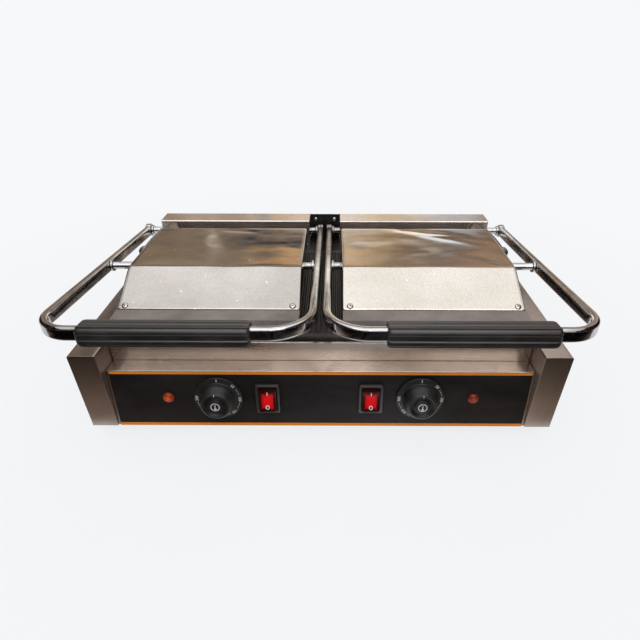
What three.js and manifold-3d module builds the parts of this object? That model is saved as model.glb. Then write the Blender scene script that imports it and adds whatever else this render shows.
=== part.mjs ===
// Double panini press: two ribbed contact grills side by side on one stainless body.
// Millimetres. X runs to the right, Y to the back, Z up, and the part stands on Z = 0.
// While it is built, Y = 0 is the front face of the side boxes. The last lines centre it.

import * as THREE from 'three';
import { mergeVertices } from 'three/addons/utils/BufferGeometryUtils.js';
import Module from 'manifold-3d';

const wasm = await Module();
wasm.setup();

// Fits
const clearance = 0.3; // between pieces that touch
const runningGap = 0.5; // radially around a turning shaft
const overrun = 4; // how far a cutting tool passes its work

// Body
const bodyWidth = 540;
const bodyDepth = 330;
const bodyHeight = 103;
const sheet = 1.2;
const sideBoxWidth = 30;
const sideBoxEdge = 2.5;
const footHeight = 20;
const footRadius = 15;
const footWaist = 12.5;
const footRecess = 4;
const footInsetX = 55;
const footInsetY = 42;

// Base pan
const panFront = 6;
const panFlange = 12;
const panSlotLength = 58;
const panSlotWidth = 5;
const panSlotPitch = 13;
const panSlotCount = 8;

// Front panel: a leaning face, a ledge over it and a stop behind the grease tray
const panelFootY = 1.5;
const ledgeFrontY = 10.7;
const ledgeDrop = 28.5; // from the deck down to the ledge
const ledgeBackY = 100;
const ledgeStop = 9;
const fasciaThickness = 0.8;
const fasciaInset = 3;
const fasciaTopGap = 1.5;

// Grease tray
const trayBehindLip = 6.9; // from the tray's face back to the lower plate
const trayFaceHeight = 25;
const trayWallHeight = 11;
const trayBackGap = 2;
const traySideGap = 0.8;
const trayHem = 3;

// Controls on the panel, placed by their height up its slope
const controlHeight = 41;
const lampShare = 0.725; // of the way from the middle to the panel's end
const knobShare = 0.479;
const switchShare = 0.244;
const controlShift = -1.6; // the holes for knobs and switches are punched a little to the left
const lampLensRadius = 6.5;
const lampStemRadius = 5.4;
const lampLensRise = 3.4;
const lampFlange = 1.4;
const lampNutRadius = 9;
const lampNutThickness = 4;
const lampDepth = 24;
const knobSkirtRadius = 27.5;
const knobSkirtThickness = 2.2;
const knobBodyRadius = 19;
const knobTopRadius = 17;
const knobRise = 18.5;
const knobDishRadius = 12.5;
const knobDishDepth = 2.6;
const knobHubRadius = 8.6;
const knobStandoff = 0.9;
const knobSocketDepth = 11;
const knobPointerWidth = 2.4;
const knobPointerRise = 1.2;
const thermostatShaftRadius = 3;
const thermostatSize = 36;
const thermostatDepth = 17;
const thermostatBushRadius = 5;
const bezelWidth = 28;
const bezelHeight = 38;
const bezelRise = 4.6;
const bezelCorner = 2.2;
const switchBodyMargin = 2.1;
const switchBodyDepth = 24;
const switchPocketDepth = 13;
const rockerWidth = 19.5;
const rockerHeight = 29;
const rockerRise = 5;
const rockerDish = 1.6;
const rockerKeel = 7;
const rockerPivotDepth = 1;
const rockerTilt = THREE.MathUtils.degToRad(7);
const rockerSwingRoom = 0.9;
const terminalBlockSize = { length: 64, depth: 20, height: 16 };
const terminalWells = 6;
const terminalWidth = 6.3;
const terminalThickness = 0.8;
const terminalLength = 8;

// Lower plate and its supports
const plateFrontY = 37.5;
const plateSideGap = 2.5;
const plateAboveDeck = 1;
const plateThickness = 12;
const plateMargin = 6.5;
const plateRearMargin = 9;
const ribRise = 3;
const ribPitch = 5.1;
const ribRoot = 3.3;
const ribCrest = 1.7;
const ribAbovePlate = 2;
const railLeg = 15;
const railThickness = 2;
const railFrontY = 106;
const shieldDrop = 43;
const shieldFlange = 10;

// Rear deck, back panel and hinge housing
const deckDepth = 62.5;
const deckLip = 10;
const ventSlotLength = 60;
const ventSlotWidth = 4;
const ventSlotPitch = 11;
const ventSlotCount = 5;
const ventDrop = 27;
const housingSideInset = 15;
const housingDepth = 33;
const housingHeight = 37.2;
const housingEdge = 2.5;
const notchWidth = 48;
const inletFromEnd = 35;
const inletHeight = 30;
const inletFlangeRadius = 13;
const inletStemRadius = 9;
const inletReach = 12;
const inletInside = 10;
const inletBore = 4.5;

// Hinge line and handles
const hingeFromBack = 16;
const hingeAboveDeck = 15;
const armSlope = Math.atan(0.0835);
const handleFrontY = -18;
const handleSideGap = 40.6; // from the upper plate's side to the outer arm
const handleInnerX = 2.7;
const barThickness = 8.6;
const barHeight = 15.4;
const barEdge = 3.2;
const outerBend = 36;
const innerBend = 44;
const bendSteps = 6;
const eyeRadius = 10;
const shaftRadius = 5;
const collarRadius = 8;
const collarWidth = 3;
const bearingWidth = 14;
const bearingInset = 33;
const bearingFromNotch = 12;
const bearingShoulder = 12;
const bearingFoot = 28;
const bearingFootThickness = 4;
const springTurns = 6;
const springPitch = 4.6;
const springWire = 1.3;
const springSteps = 8;
const springLeg = 11;

// Grips
const gripFromInnerArm = 55.2;
const gripFromOuterArm = 45.1;
const gripDepth = 24;
const gripHeight = 22.5;
const gripCorner = 6;
const gripRidges = 12;
const pointsPerRidge = 6;
const crestPoints = 4;
const gripGroove = 1;
const gripEndTaper = 4;
const gripEndShare = 0.84;

// Upper plates
const upperInnerX = 25;
const upperOverhang = 0.5;
const upperSetback = 7.5;
const upperRearSetback = 8.5;
const upperThickness = 14;
const upperMargin = 5.5;
const pivotBehindMiddle = 8;
const pivotRadius = 4.8;
const lugThickness = 10;
const lugRadius = 10.5;
const lugInset = 38;
const coverSheet = 1;
const coverFrontSetback = 21.5;
const coverSlopeDepth = 54.2;
const coverRearSetback = 13;
const coverHeight = 29;
const coverFold = 5;
const coverRearFold = 3;

// Heating elements
const elementRadius = 3;
const elementInset = 20;
const elementInnerRun = 70;
const elementFrontInset = 50;
const elementBackInset = 26;
const elementBendShare = 0.45; // bend radius over the distance between two runs
const elementTurnBack = 12;
const elementSteps = 3;
const elementSides = 6;

// Armoured conduits between the upper plates and the deck
const conduitRadius = 4.7;
const conduitValley = 4;
const conduitBore = 3;
const conduitRibs = 24;
const conduitSides = 6;
const ribsPerBoreRing = 3;
const conduitPullBack = 84; // how straight it leaves the elbow and the gland
const conduitPullUp = 32;
const conduitLift = 4;
const elbowOut = 8;
const elbowBehindPivot = 30;
const elbowAbovePlate = 13;
const elbowRadius = 6.6;
const elbowReach = 11;
const elbowNutRadius = 8.4;
const elbowNutThickness = 4;
const glandInset = 10;
const glandBehindPlate = 15.5;
const glandRise = 5;
const glandRadius = 7.4;
const glandStemRadius = 6;
const glandInside = 8;

// Heights and places that follow from the sizes above
const bodyBottom = footHeight;
const deckTop = bodyBottom + bodyHeight;
const sideInnerX = bodyWidth / 2 - sideBoxWidth;
const innerReach = sideInnerX - clearance;
const ledgeHeight = bodyHeight - ledgeDrop;
const ledgeTop = bodyBottom + ledgeHeight;
const lampX = sideInnerX * lampShare;
const knobX = sideInnerX * knobShare;
const switchX = sideInnerX * switchShare;
const ventCentreX = sideInnerX / 2;
const inletX = sideInnerX - inletFromEnd;
const plateWidth = 2 * (sideInnerX - plateSideGap);
const trayFaceY = plateFrontY - trayBehindLip;
const plateTopZ = deckTop + plateAboveDeck;
const plateBottom = plateTopZ - plateThickness;
const plateBackY = bodyDepth - deckDepth;
const ribCrestZ = plateTopZ + ribAbovePlate;
const hingeY = bodyDepth - hingeFromBack;
const hingeZ = deckTop + hingeAboveDeck;
const upperTopZ = ribCrestZ + upperThickness;
const upperOuterX = plateWidth / 2 + upperOverhang;
const upperFrontY = plateFrontY + upperSetback;
const upperBackY = plateBackY - upperRearSetback;
const pivotY = (upperFrontY + upperBackY) / 2 + pivotBehindMiddle;
const coverFrontY = upperFrontY + coverFrontSetback;
const coverFoldY = coverFrontY + coverSlopeDepth;
const coverBackY = upperBackY - coverRearSetback;
const coverBottom = upperTopZ + clearance;
const coverTopZ = upperTopZ + coverHeight;
const housingWidth = bodyWidth - 2 * housingSideInset;
const housingFrontY = bodyDepth - housingDepth;
const housingBottom = deckTop + clearance;
const housingTop = housingBottom + housingHeight;
const bearingOuterX = housingWidth / 2 - bearingInset;
const bearingInnerX = notchWidth / 2 + bearingFromNotch;
const springX = (bearingInnerX + bearingOuterX) / 2;
const armInnerFace = upperOuterX + handleSideGap;
const handleOuterX = armInnerFace + barThickness;
const innerArmFace = handleInnerX + barThickness;
const gripInnerEnd = innerArmFace + gripFromInnerArm;
const gripOuterEnd = armInnerFace - gripFromOuterArm;
const pivotZ = hingeZ + (hingeY - pivotY) * Math.tan(armSlope);
const panelLean = Math.atan2(ledgeFrontY - panelFootY, ledgeHeight);
const fasciaHeight = ledgeHeight / Math.cos(panelLean) - fasciaTopGap;
const elbowX = upperOuterX + elbowOut;
const elbowY = pivotY + elbowBehindPivot;
const elbowZ = upperTopZ + elbowAbovePlate;
const glandX = upperOuterX - glandInset;
const glandY = plateBackY + glandBehindPlate;
const fasciaFront = clearance + fasciaThickness;
const panelWall = sheet;
const springRadius = (shaftRadius + springWire + clearance) / Math.cos(Math.PI / springSteps);

// Directions
const xAxis = new THREE.Vector3(1, 0, 0);
const yAxis = new THREE.Vector3(0, 1, 0);
const zAxis = new THREE.Vector3(0, 0, 1);
const sides = { left: -1, right: 1 };

// Finishes
const finishes = {
  stainless: { color: 0x9c9188, roughness: 0.34, metalness: 1 },
  cover: { color: 0xc9c4bc, roughness: 0.42, metalness: 1 },
  chrome: { color: 0xd8d6d4, roughness: 0.08, metalness: 1 },
  castIron: { color: 0x2b2a2b, roughness: 0.62, metalness: 0.3 },
  zinc: { color: 0xa3a6a8, roughness: 0.4, metalness: 1 },
  springSteel: { color: 0x4a4c50, roughness: 0.4, metalness: 1 },
  blackPlastic: { color: 0x1c1b1c, roughness: 0.45, metalness: 0 },
  fascia: { color: 0x1b1a1b, roughness: 0.35, metalness: 0 },
  rubber: { color: 0x161616, roughness: 0.85, metalness: 0 },
  amberLens: { color: 0xc8501e, roughness: 0.2, metalness: 0 },
  redLens: { color: 0xc40d12, roughness: 0.25, metalness: 0 },
  elementSheath: { color: 0x5a4f48, roughness: 0.5, metalness: 0.8 },
  ceramic: { color: 0xe4ded2, roughness: 0.7, metalness: 0 },
};

// Solids and booleans

function solid(geometry) {
  const bare = geometry.clone();
  bare.deleteAttribute('normal');
  bare.deleteAttribute('uv');
  const merged = mergeVertices(bare);
  const corners = merged.index.array;
  const triangles = [];
  for (let i = 0; i < corners.length; i += 3) {
    const [a, b, c] = [corners[i], corners[i + 1], corners[i + 2]];
    if (a !== b && b !== c && c !== a) triangles.push(a, b, c);
  }
  return new wasm.Manifold(new wasm.Mesh({
    numProp: 3,
    vertProperties: new Float32Array(merged.attributes.position.array),
    triVerts: new Uint32Array(triangles),
  }));
}

function geometryOf(body) {
  const { vertProperties, triVerts } = body.getMesh();
  const geometry = new THREE.BufferGeometry();
  geometry.setAttribute('position', new THREE.BufferAttribute(vertProperties, 3));
  geometry.setIndex(new THREE.BufferAttribute(triVerts, 1));
  return geometry;
}

function join(...geometries) {
  return geometryOf(geometries.map(solid).reduce((sum, next) => sum.add(next)));
}

function cut(geometry, ...tools) {
  return geometryOf(tools.map(solid).reduce((rest, tool) => rest.subtract(tool), solid(geometry)));
}

// The same shape on the other side of X = 0, with its faces still pointing out
function mirrored(geometry) {
  const copy = geometryOf(solid(geometry));
  copy.scale(-1, 1, 1);
  const corners = copy.index.array;
  for (let i = 0; i < corners.length; i += 3) {
    [corners[i], corners[i + 1]] = [corners[i + 1], corners[i]];
  }
  return copy;
}

// Primitive shapes, given by the places they reach

function block([x0, x1], [y0, y1], [z0, z1]) {
  const geometry = new THREE.BoxGeometry(x1 - x0, y1 - y0, z1 - z0);
  return geometry.translate((x0 + x1) / 2, (y0 + y1) / 2, (z0 + z1) / 2);
}

function extruded(shape, length, curveSegments) {
  return new THREE.ExtrudeGeometry(shape, { depth: length, bevelEnabled: false, curveSegments });
}

// A section drawn in Y and Z, run along X
function alongX(shape, x0, x1, curveSegments = 4) {
  const geometry = extruded(shape, x1 - x0, curveSegments);
  geometry.applyMatrix4(new THREE.Matrix4().makeBasis(yAxis, zAxis, xAxis));
  return geometry.translate(x0, 0, 0);
}

// A section drawn in X and Z, run along Y
function alongY(shape, y0, y1, curveSegments = 4) {
  const geometry = extruded(shape, y1 - y0, curveSegments);
  geometry.applyMatrix4(new THREE.Matrix4().makeBasis(xAxis, zAxis, yAxis.clone().negate()));
  return geometry.translate(0, y1, 0);
}

// A round bar along one axis between two places on it
function bar(axis, radius, from, to, across, segments = 12) {
  const geometry = new THREE.CylinderGeometry(radius, radius, to - from, segments);
  const middle = (from + to) / 2;
  if (axis === 'x') return geometry.rotateZ(-Math.PI / 2).translate(middle, across[0], across[1]);
  if (axis === 'y') return geometry.translate(across[0], middle, across[1]);
  return geometry.rotateX(Math.PI / 2).translate(across[0], across[1], middle);
}

// A turned shape about Z from [radius, height] pairs, upwards along the outside
function turned(profile, segments = 20) {
  const points = profile.map(([radius, height]) => new THREE.Vector2(radius, height));
  return new THREE.LatheGeometry(points, segments).rotateX(Math.PI / 2);
}

function outline(points) {
  return new THREE.Shape(points.map(([u, v]) => new THREE.Vector2(u, v)));
}

// A polygon with a round of its own radius at each corner
function roundedOutline(points, radii) {
  const shape = new THREE.Shape();
  points.forEach((point, i) => {
    const corner = new THREE.Vector2(...point);
    const before = new THREE.Vector2(...points.at(i - 1)).sub(corner).normalize();
    const after = new THREE.Vector2(...points[(i + 1) % points.length]).sub(corner).normalize();
    const radius = Array.isArray(radii) ? radii[i] : radii;
    const back = radius / Math.tan(before.angleTo(after) / 2);
    const enter = corner.clone().addScaledVector(before, back);
    const leave = corner.clone().addScaledVector(after, back);
    if (i === 0) shape.moveTo(enter.x, enter.y);
    else shape.lineTo(enter.x, enter.y);
    if (radius > 0) shape.quadraticCurveTo(corner.x, corner.y, leave.x, leave.y);
  });
  shape.closePath();
  return shape;
}

function roundedRectangle(width, height, radius) {
  const [w, h] = [width / 2, height / 2];
  return roundedOutline([[-w, -h], [w, -h], [w, h], [-w, h]], radius);
}

// A convex outline, counter-clockwise, with each edge moved inwards by its own distance
function inset(points, distances) {
  const edges = points.map((point, i) => {
    const from = new THREE.Vector2(...point);
    const along = new THREE.Vector2(...points[(i + 1) % points.length]).sub(from).normalize();
    const inward = new THREE.Vector2(-along.y, along.x);
    return { from: from.addScaledVector(inward, distances[i]), along };
  });
  return edges.map((edge, i) => {
    const last = edges.at(i - 1);
    const gap = edge.from.clone().sub(last.from);
    const reach = gap.cross(edge.along) / last.along.cross(edge.along);
    const corner = last.from.clone().addScaledVector(last.along, reach);
    return [corner.x, corner.y];
  });
}

// A skin through rings of points, closed at both ends by fans
function loft(rings) {
  const count = rings[0].length;
  const middle = (ring) => ring.reduce((sum, p) => sum.add(p), new THREE.Vector3()).divideScalar(count);
  const points = [...rings.flat(), middle(rings[0]), middle(rings.at(-1))];
  const [first, last] = [points.length - 2, points.length - 1];
  const end = (rings.length - 1) * count;
  const triangles = [];
  for (let i = 0; i < count; i += 1) {
    const j = (i + 1) % count;
    for (let start = 0; start < end; start += count) {
      const next = start + count;
      triangles.push(start + i, start + j, next + j, start + i, next + j, next + i);
    }
    triangles.push(first, j, i, last, end + i, end + j);
  }
  const geometry = new THREE.BufferGeometry().setFromPoints(points);
  return geometry.setIndex(triangles);
}

// A flat path with its inner corners rounded, as evenly stepped points
function filletedPath(corners, radii, steps) {
  const points = [corners[0]];
  for (let i = 1; i < corners.length - 1; i += 1) {
    const before = corners[i - 1].clone().sub(corners[i]).normalize();
    const after = corners[i + 1].clone().sub(corners[i]).normalize();
    const half = before.angleTo(after) / 2;
    const radius = radii[i - 1];
    const bisector = before.clone().add(after).normalize();
    const centre = corners[i].clone().addScaledVector(bisector, radius / Math.sin(half));
    const start = corners[i].clone().addScaledVector(before, radius / Math.tan(half)).sub(centre);
    const turn = Math.PI - 2 * half;
    const axis = before.clone().cross(after).normalize().negate();
    for (let k = 0; k <= steps; k += 1) {
      points.push(start.clone().applyAxisAngle(axis, (turn * k) / steps).add(centre));
    }
  }
  points.push(corners.at(-1));
  return points;
}

// A section swept along a flat path; up is the normal of the path's plane
function swept(path, section, up) {
  const rings = path.map((point, i) => {
    const into = point.clone().sub(path[Math.max(i - 1, 0)]).normalize();
    const out = path[Math.min(i + 1, path.length - 1)].clone().sub(point).normalize();
    const along = into.clone().add(out).normalize();
    const bend = Math.min(into.lengthSq(), out.lengthSq()) > 0 ? into.angleTo(out) : 0;
    const across = up.clone().cross(along).divideScalar(Math.cos(bend / 2));
    return section.map(([u, v]) => point.clone().addScaledVector(across, u).addScaledVector(up, v));
  });
  return loft(rings);
}

function circleSection(radius, count) {
  return Array.from({ length: count }, (_, i) => {
    const turn = (2 * Math.PI * i) / count;
    return [radius * Math.cos(turn), radius * Math.sin(turn)];
  });
}

function shapeSection(shape, curveSegments) {
  return shape.getPoints(curveSegments).slice(0, -1).map((p) => [p.x, p.y]);
}

// Parts of the model

const press = new THREE.Group();
const panelGroup = new THREE.Group(); // X right, Y up the slope, Z out of the panel
panelGroup.position.set(0, panelFootY, bodyBottom);
panelGroup.rotation.x = Math.PI / 2 - panelLean;
panelGroup.updateMatrix();
press.add(panelGroup);

function add(name, geometry, finish, parent = press) {
  const mesh = new THREE.Mesh(geometry, new THREE.MeshStandardMaterial(finishes[finish]));
  mesh.geometry.computeVertexNormals();
  mesh.name = name;
  parent.add(mesh);
  return mesh;
}

function addPair(name, geometry, finish) {
  add(`${name}_left`, mirrored(geometry), finish);
  add(`${name}_right`, geometryOf(solid(geometry)), finish);
}

function throughPanel(geometry) {
  return geometry.clone().applyMatrix4(panelGroup.matrix);
}

// Body

function sideBox() {
  const [inner, outer] = [sideInnerX, bodyWidth / 2];
  const corners = [[inner, bodyBottom], [outer, bodyBottom], [outer, deckTop], [inner, deckTop]];
  const outside = alongY(roundedOutline(corners, [0, 0, sideBoxEdge, sideBoxEdge]), 0, bodyDepth);
  const hollow = block(
    [inner + sheet, outer - sheet],
    [sheet, bodyDepth - sheet],
    [bodyBottom - overrun, deckTop - sheet],
  );
  const panSlot = block(
    [inner - overrun, inner + sheet + overrun],
    [panFront - clearance, bodyDepth - sheet],
    [bodyBottom - overrun, bodyBottom + sheet + clearance],
  );
  return cut(outside, hollow, panSlot);
}

function basePan() {
  const reach = bodyWidth / 2 - sheet - clearance;
  const back = bodyDepth - sheet - clearance;
  const floorTop = bodyBottom + sheet;
  const flangeTop = bodyBottom + panFlange;
  const lipReach = innerReach - clearance;
  const pan = join(
    block([-reach, reach], [panFront, back], [bodyBottom, floorTop]),
    block([-reach, sheet - reach], [panFront, back], [bodyBottom, flangeTop]),
    block([reach - sheet, reach], [panFront, back], [bodyBottom, flangeTop]),
    block([-lipReach, lipReach], [panFront, panFront + sheet], [bodyBottom, flangeTop]),
    block([-lipReach, lipReach], [back - sheet, back], [bodyBottom, flangeTop]),
  );
  const slots = [];
  for (const side of [-1, 1]) {
    for (let i = 0; i < panSlotCount; i += 1) {
      const y = bodyDepth / 2 + (i - (panSlotCount - 1) / 2) * panSlotPitch;
      const x = side * ventCentreX;
      slots.push(block(
        [x - panSlotLength / 2, x + panSlotLength / 2],
        [y - panSlotWidth / 2, y + panSlotWidth / 2],
        [bodyBottom - overrun, floorTop + overrun],
      ));
    }
  }
  return cut(pan, ...slots);
}

function foot() {
  const top = footHeight - clearance;
  return turned([
    [0, footRecess], [footRadius / 3, footRecess], [footRadius / 2, 0], [footRadius, 0],
    [footRadius, footHeight / 4], [footWaist, footHeight / 2], [footWaist, top], [0, top],
  ], 12);
}

function switchCutout(x, margin) {
  const width = bezelWidth - 2 * switchBodyMargin + margin;
  const height = bezelHeight - 2 * switchBodyMargin + margin;
  const [y0, y1] = [controlHeight - height / 2, controlHeight + height / 2];
  return block([x - width / 2, x + width / 2], [y0, y1], [-overrun, overrun]);
}

// Openings for every control, in the panel's own frame
function controlCutouts() {
  const [lampHole, bushHole] = [lampStemRadius, thermostatBushRadius].map((r) => r + runningGap);
  return [-1, 1].flatMap((side) => [
    bar('z', lampHole, -overrun, overrun, [side * lampX, controlHeight], 14),
    bar('z', bushHole, -overrun, overrun, [side * knobX + controlShift, controlHeight], 12),
    switchCutout(side * switchX + controlShift, 2 * clearance),
  ]);
}

function frontPanel() {
  const foot = panelFootY + panelWall / Math.cos(panelLean);
  const insideCorner = foot + (ledgeHeight - panelWall) * Math.tan(panelLean);
  const section = outline([
    [panelFootY, bodyBottom], [foot, bodyBottom],
    [insideCorner, ledgeTop - panelWall], [ledgeBackY, ledgeTop - panelWall],
    [ledgeBackY, ledgeTop + ledgeStop], [ledgeBackY - panelWall, ledgeTop + ledgeStop],
    [ledgeBackY - panelWall, ledgeTop], [ledgeFrontY, ledgeTop],
  ]);
  return cut(alongX(section, -innerReach, innerReach), ...controlCutouts().map(throughPanel));
}

function controlFascia() {
  const reach = innerReach - fasciaInset;
  const sheetOfPlastic = block([-reach, reach], [clearance, fasciaHeight], [clearance, fasciaFront]);
  return cut(sheetOfPlastic, ...controlCutouts());
}

function greaseTray() {
  const reach = sideInnerX - traySideGap;
  const bottom = ledgeTop + clearance;
  const [front, back] = [trayFaceY, ledgeBackY - panelWall - trayBackGap];
  const wallTop = bottom + trayWallHeight;
  const faceTop = bottom + trayFaceHeight - clearance;
  const wholeTray = join(
    block([-reach, reach], [front, back], [bottom, wallTop]),
    block([-reach, reach], [front, front + sheet], [bottom, faceTop]),
    block([-reach, reach], [front, front + trayHem], [faceTop - sheet, faceTop]),
  );
  const hollow = block(
    [sheet - reach, reach - sheet],
    [front + sheet, back - sheet],
    [bottom + sheet, wallTop + overrun],
  );
  return cut(wholeTray, hollow);
}

// Ribs side by side along X, as one comb with a strip that sinks into the casting.
// Up is 1 for ribs that stand on top and -1 for ribs underneath.
function ribComb([x0, x1], [y0, y1], root, up) {
  const count = Math.floor((x1 - x0) / ribPitch);
  const start = (x0 + x1 - count * ribPitch) / 2;
  const crest = root + up * ribRise;
  const points = [[start, root - up * ribRise / 2], [start, root]];
  for (let i = 0; i < count; i += 1) {
    const middle = start + (i + 1 / 2) * ribPitch;
    points.push(
      [middle - ribRoot / 2, root], [middle - ribCrest / 2, crest],
      [middle + ribCrest / 2, crest], [middle + ribRoot / 2, root],
    );
  }
  points.push([start + count * ribPitch, root], [start + count * ribPitch, root - up * ribRise / 2]);
  return alongY(outline(up > 0 ? points.reverse() : points), y0, y1);
}

function lowerPlate() {
  const reach = plateWidth / 2;
  const top = plateTopZ;
  const root = ribCrestZ - ribRise;
  const field = [plateMargin - reach, reach - plateMargin];
  const ribsY = [plateFrontY + plateMargin, plateBackY - plateRearMargin];
  const casting = block([-reach, reach], [plateFrontY, plateBackY], [plateBottom, top]);
  const bed = block(field, ribsY, [root, top + overrun]);
  return join(cut(casting, bed), ribComb(field, ribsY, root, 1));
}

function plateRail() {
  const outer = innerReach;
  const top = plateBottom - clearance;
  const section = outline([
    [outer - railThickness, top - railLeg], [outer, top - railLeg], [outer, top],
    [outer - railLeg, top], [outer - railLeg, top - railThickness],
    [outer - railThickness, top - railThickness],
  ]);
  return alongY(section, railFrontY, plateBackY);
}

function heatShield() {
  const top = deckTop - shieldDrop;
  const section = outline([
    [-innerReach, top - shieldFlange], [sheet - innerReach, top - shieldFlange],
    [sheet - innerReach, top - sheet], [innerReach - sheet, top - sheet],
    [innerReach - sheet, top - shieldFlange], [innerReach, top - shieldFlange],
    [innerReach, top], [-innerReach, top],
  ]);
  return alongY(section, railFrontY, plateBackY);
}

function rearDeck() {
  const [front, back] = [plateBackY + clearance, bodyDepth - sheet - clearance];
  const section = outline([
    [front, deckTop - deckLip], [front + sheet, deckTop - deckLip], [front + sheet, deckTop - sheet],
    [back - sheet, deckTop - sheet], [back - sheet, deckTop - deckLip], [back, deckTop - deckLip],
    [back, deckTop], [front, deckTop],
  ]);
  const holes = [-1, 1].map((side) => bar(
    'z', glandStemRadius + clearance, deckTop - deckLip, deckTop + overrun, [side * glandX, glandY],
  ));
  return cut(alongX(section, -innerReach, innerReach), ...holes);
}

function backPanel() {
  const [bottom, top] = [bodyBottom + clearance, deckTop - clearance];
  const inside = bodyDepth - sheet;
  const plate = block([-innerReach, innerReach], [inside, bodyDepth], [bottom, top]);
  const through = [inside - overrun, bodyDepth + overrun];
  const slots = [];
  for (const side of [-1, 1]) {
    for (let i = 0; i < ventSlotCount; i += 1) {
      const z = deckTop - ventDrop - i * ventSlotPitch;
      const x = side * ventCentreX;
      slots.push(block(
        [x - ventSlotLength / 2, x + ventSlotLength / 2], through,
        [z - ventSlotWidth / 2, z + ventSlotWidth / 2],
      ));
    }
  }
  const inletHole = bar('y', inletStemRadius + clearance, ...through, [inletX, bodyBottom + inletHeight]);
  return cut(plate, ...slots, inletHole);
}

function powerInlet() {
  const outside = bodyDepth + clearance;
  const flange = inletFlangeRadius / 4;
  const gland = turned([
    [inletBore, -sheet - inletInside], [inletStemRadius, -sheet - inletInside], [inletStemRadius, 0],
    [inletFlangeRadius, 0], [inletFlangeRadius, flange], [inletStemRadius, flange],
    [inletStemRadius - clearance, inletReach * 2 / 3], [inletBore + sheet, inletReach],
    [inletBore, inletReach], [inletBore, -sheet - inletInside],
  ], 14);
  return gland.rotateX(-Math.PI / 2).translate(inletX, outside, bodyBottom + inletHeight);
}

function terminalBlock() {
  const { length, depth, height } = terminalBlockSize;
  const base = bodyBottom + sheet + clearance;
  const y = bodyDepth - depth * 2;
  const body = block([-length / 2, length / 2], [y - depth, y], [base, base + height]);
  const wells = [];
  const pitch = length / terminalWells;
  for (let i = 0; i < terminalWells; i += 1) {
    const across = [(i + 1 / 2 - terminalWells / 2) * pitch, y - depth / 2];
    wells.push(bar('z', pitch / 3, base + height / 2, base + height + overrun, across, 8));
  }
  return cut(body, ...wells);
}

// Hinge housing, open below and notched in the middle for the inner arms
function rearHousing() {
  const reach = housingWidth / 2;
  const notch = notchWidth / 2;
  const front = housingFrontY;
  const corners = [
    [front, housingBottom], [bodyDepth, housingBottom],
    [bodyDepth, housingTop], [front, housingTop],
  ];
  const section = roundedOutline(corners, [0, 0, housingEdge, housingEdge]);
  const inY = [front + sheet, bodyDepth - sheet];
  const inZ = [housingBottom - overrun, housingTop - sheet];
  return cut(
    alongX(section, -reach, reach),
    block([sheet - reach, -notch - sheet], inY, inZ),
    block([notch + sheet, reach - sheet], inY, inZ),
    block([-notch, notch], [front - overrun, inY[1]], [housingBottom - overrun, housingTop + overrun]),
    bar('x', shaftRadius + 2 * runningGap, -reach - overrun, reach + overrun, [hingeY, hingeZ]),
  );
}

function hingeBearing(x) {
  const base = deckTop + clearance;
  const shoulder = bearingShoulder;
  const section = new THREE.Shape();
  section.moveTo(hingeY - bearingFoot / 2, base);
  section.lineTo(hingeY + bearingFoot / 2, base);
  section.lineTo(hingeY + bearingFoot / 2, base + bearingFootThickness);
  section.lineTo(hingeY + shoulder, base + bearingFootThickness);
  section.absarc(hingeY, hingeZ, shoulder, 0, Math.PI, false);
  section.lineTo(hingeY - shoulder, base + bearingFootThickness);
  section.lineTo(hingeY - bearingFoot / 2, base + bearingFootThickness);
  section.closePath();
  const body = alongX(section, x - bearingWidth / 2, x + bearingWidth / 2, 8);
  const bore = bar('x', shaftRadius + runningGap, x - bearingWidth, x + bearingWidth, [hingeY, hingeZ]);
  return cut(body, bore);
}

// Counterbalance spring: a helix round the shaft with a straight leg at each end
function torsionSpring() {
  const path = [];
  for (let i = 0; i <= springTurns * springSteps; i += 1) {
    const turn = (2 * Math.PI * i) / springSteps;
    const x = springX + springPitch * (i / springSteps - springTurns / 2);
    const [y, z] = [springRadius * Math.cos(turn), springRadius * Math.sin(turn)];
    path.push(new THREE.Vector3(x, hingeY + y, hingeZ + z));
  }
  const down = new THREE.Vector3(0, 0, -springLeg);
  path.unshift(path[0].clone().add(down));
  path.push(path.at(-1).clone().sub(down));
  printLeastGap('torsion spring', path.slice(1, -1), springWire, springSteps);
  return tubeAlong(path, springWire, 5);
}

// A round tube through points in space
function tubeAlong(path, radius, count) {
  const normals = transportedNormals(path);
  const rings = path.map((point, i) => circleSection(radius, count).map(([u, v]) => {
    const { normal, binormal } = normals[i];
    return point.clone().addScaledVector(normal, u).addScaledVector(binormal, v);
  }));
  return loft(rings);
}

// Frames that follow a path in space without twisting about it
function transportedNormals(path) {
  const tangents = path.map((_, i) => {
    const from = path[Math.max(i - 1, 0)];
    return path[Math.min(i + 1, path.length - 1)].clone().sub(from).normalize();
  });
  let normal = new THREE.Vector3(0, 0, 1).cross(tangents[0]);
  if (normal.lengthSq() < Number.EPSILON) normal = new THREE.Vector3(1, 0, 0);
  return tangents.map((tangent) => {
    normal = normal.clone().addScaledVector(tangent, -normal.dot(tangent)).normalize();
    return { normal, binormal: tangent.clone().cross(normal) };
  });
}

function printLeastGap(name, points, radius, apart) {
  let least = Infinity;
  for (let i = 0; i < points.length; i += 1) {
    for (let j = i + apart - 1; j < points.length; j += 1) {
      least = Math.min(least, points[i].distanceTo(points[j]));
    }
  }
  console.log(`${name}: least gap to itself ${(least - 2 * radius).toFixed(2)} mm`);
}

// Handles: the arms climb from the hinge to the grips in one tilted plane

const forward = new THREE.Vector3(0, -Math.cos(armSlope), Math.sin(armSlope));
const planeNormal = new THREE.Vector3(0, Math.sin(armSlope), Math.cos(armSlope));
const handleLength = (hingeY - handleFrontY) / Math.cos(armSlope);
const hingeCentre = new THREE.Vector3(0, hingeY, hingeZ);

function inHandlePlane(x, along) {
  return hingeCentre.clone().setX(x).addScaledVector(forward, along);
}

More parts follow.
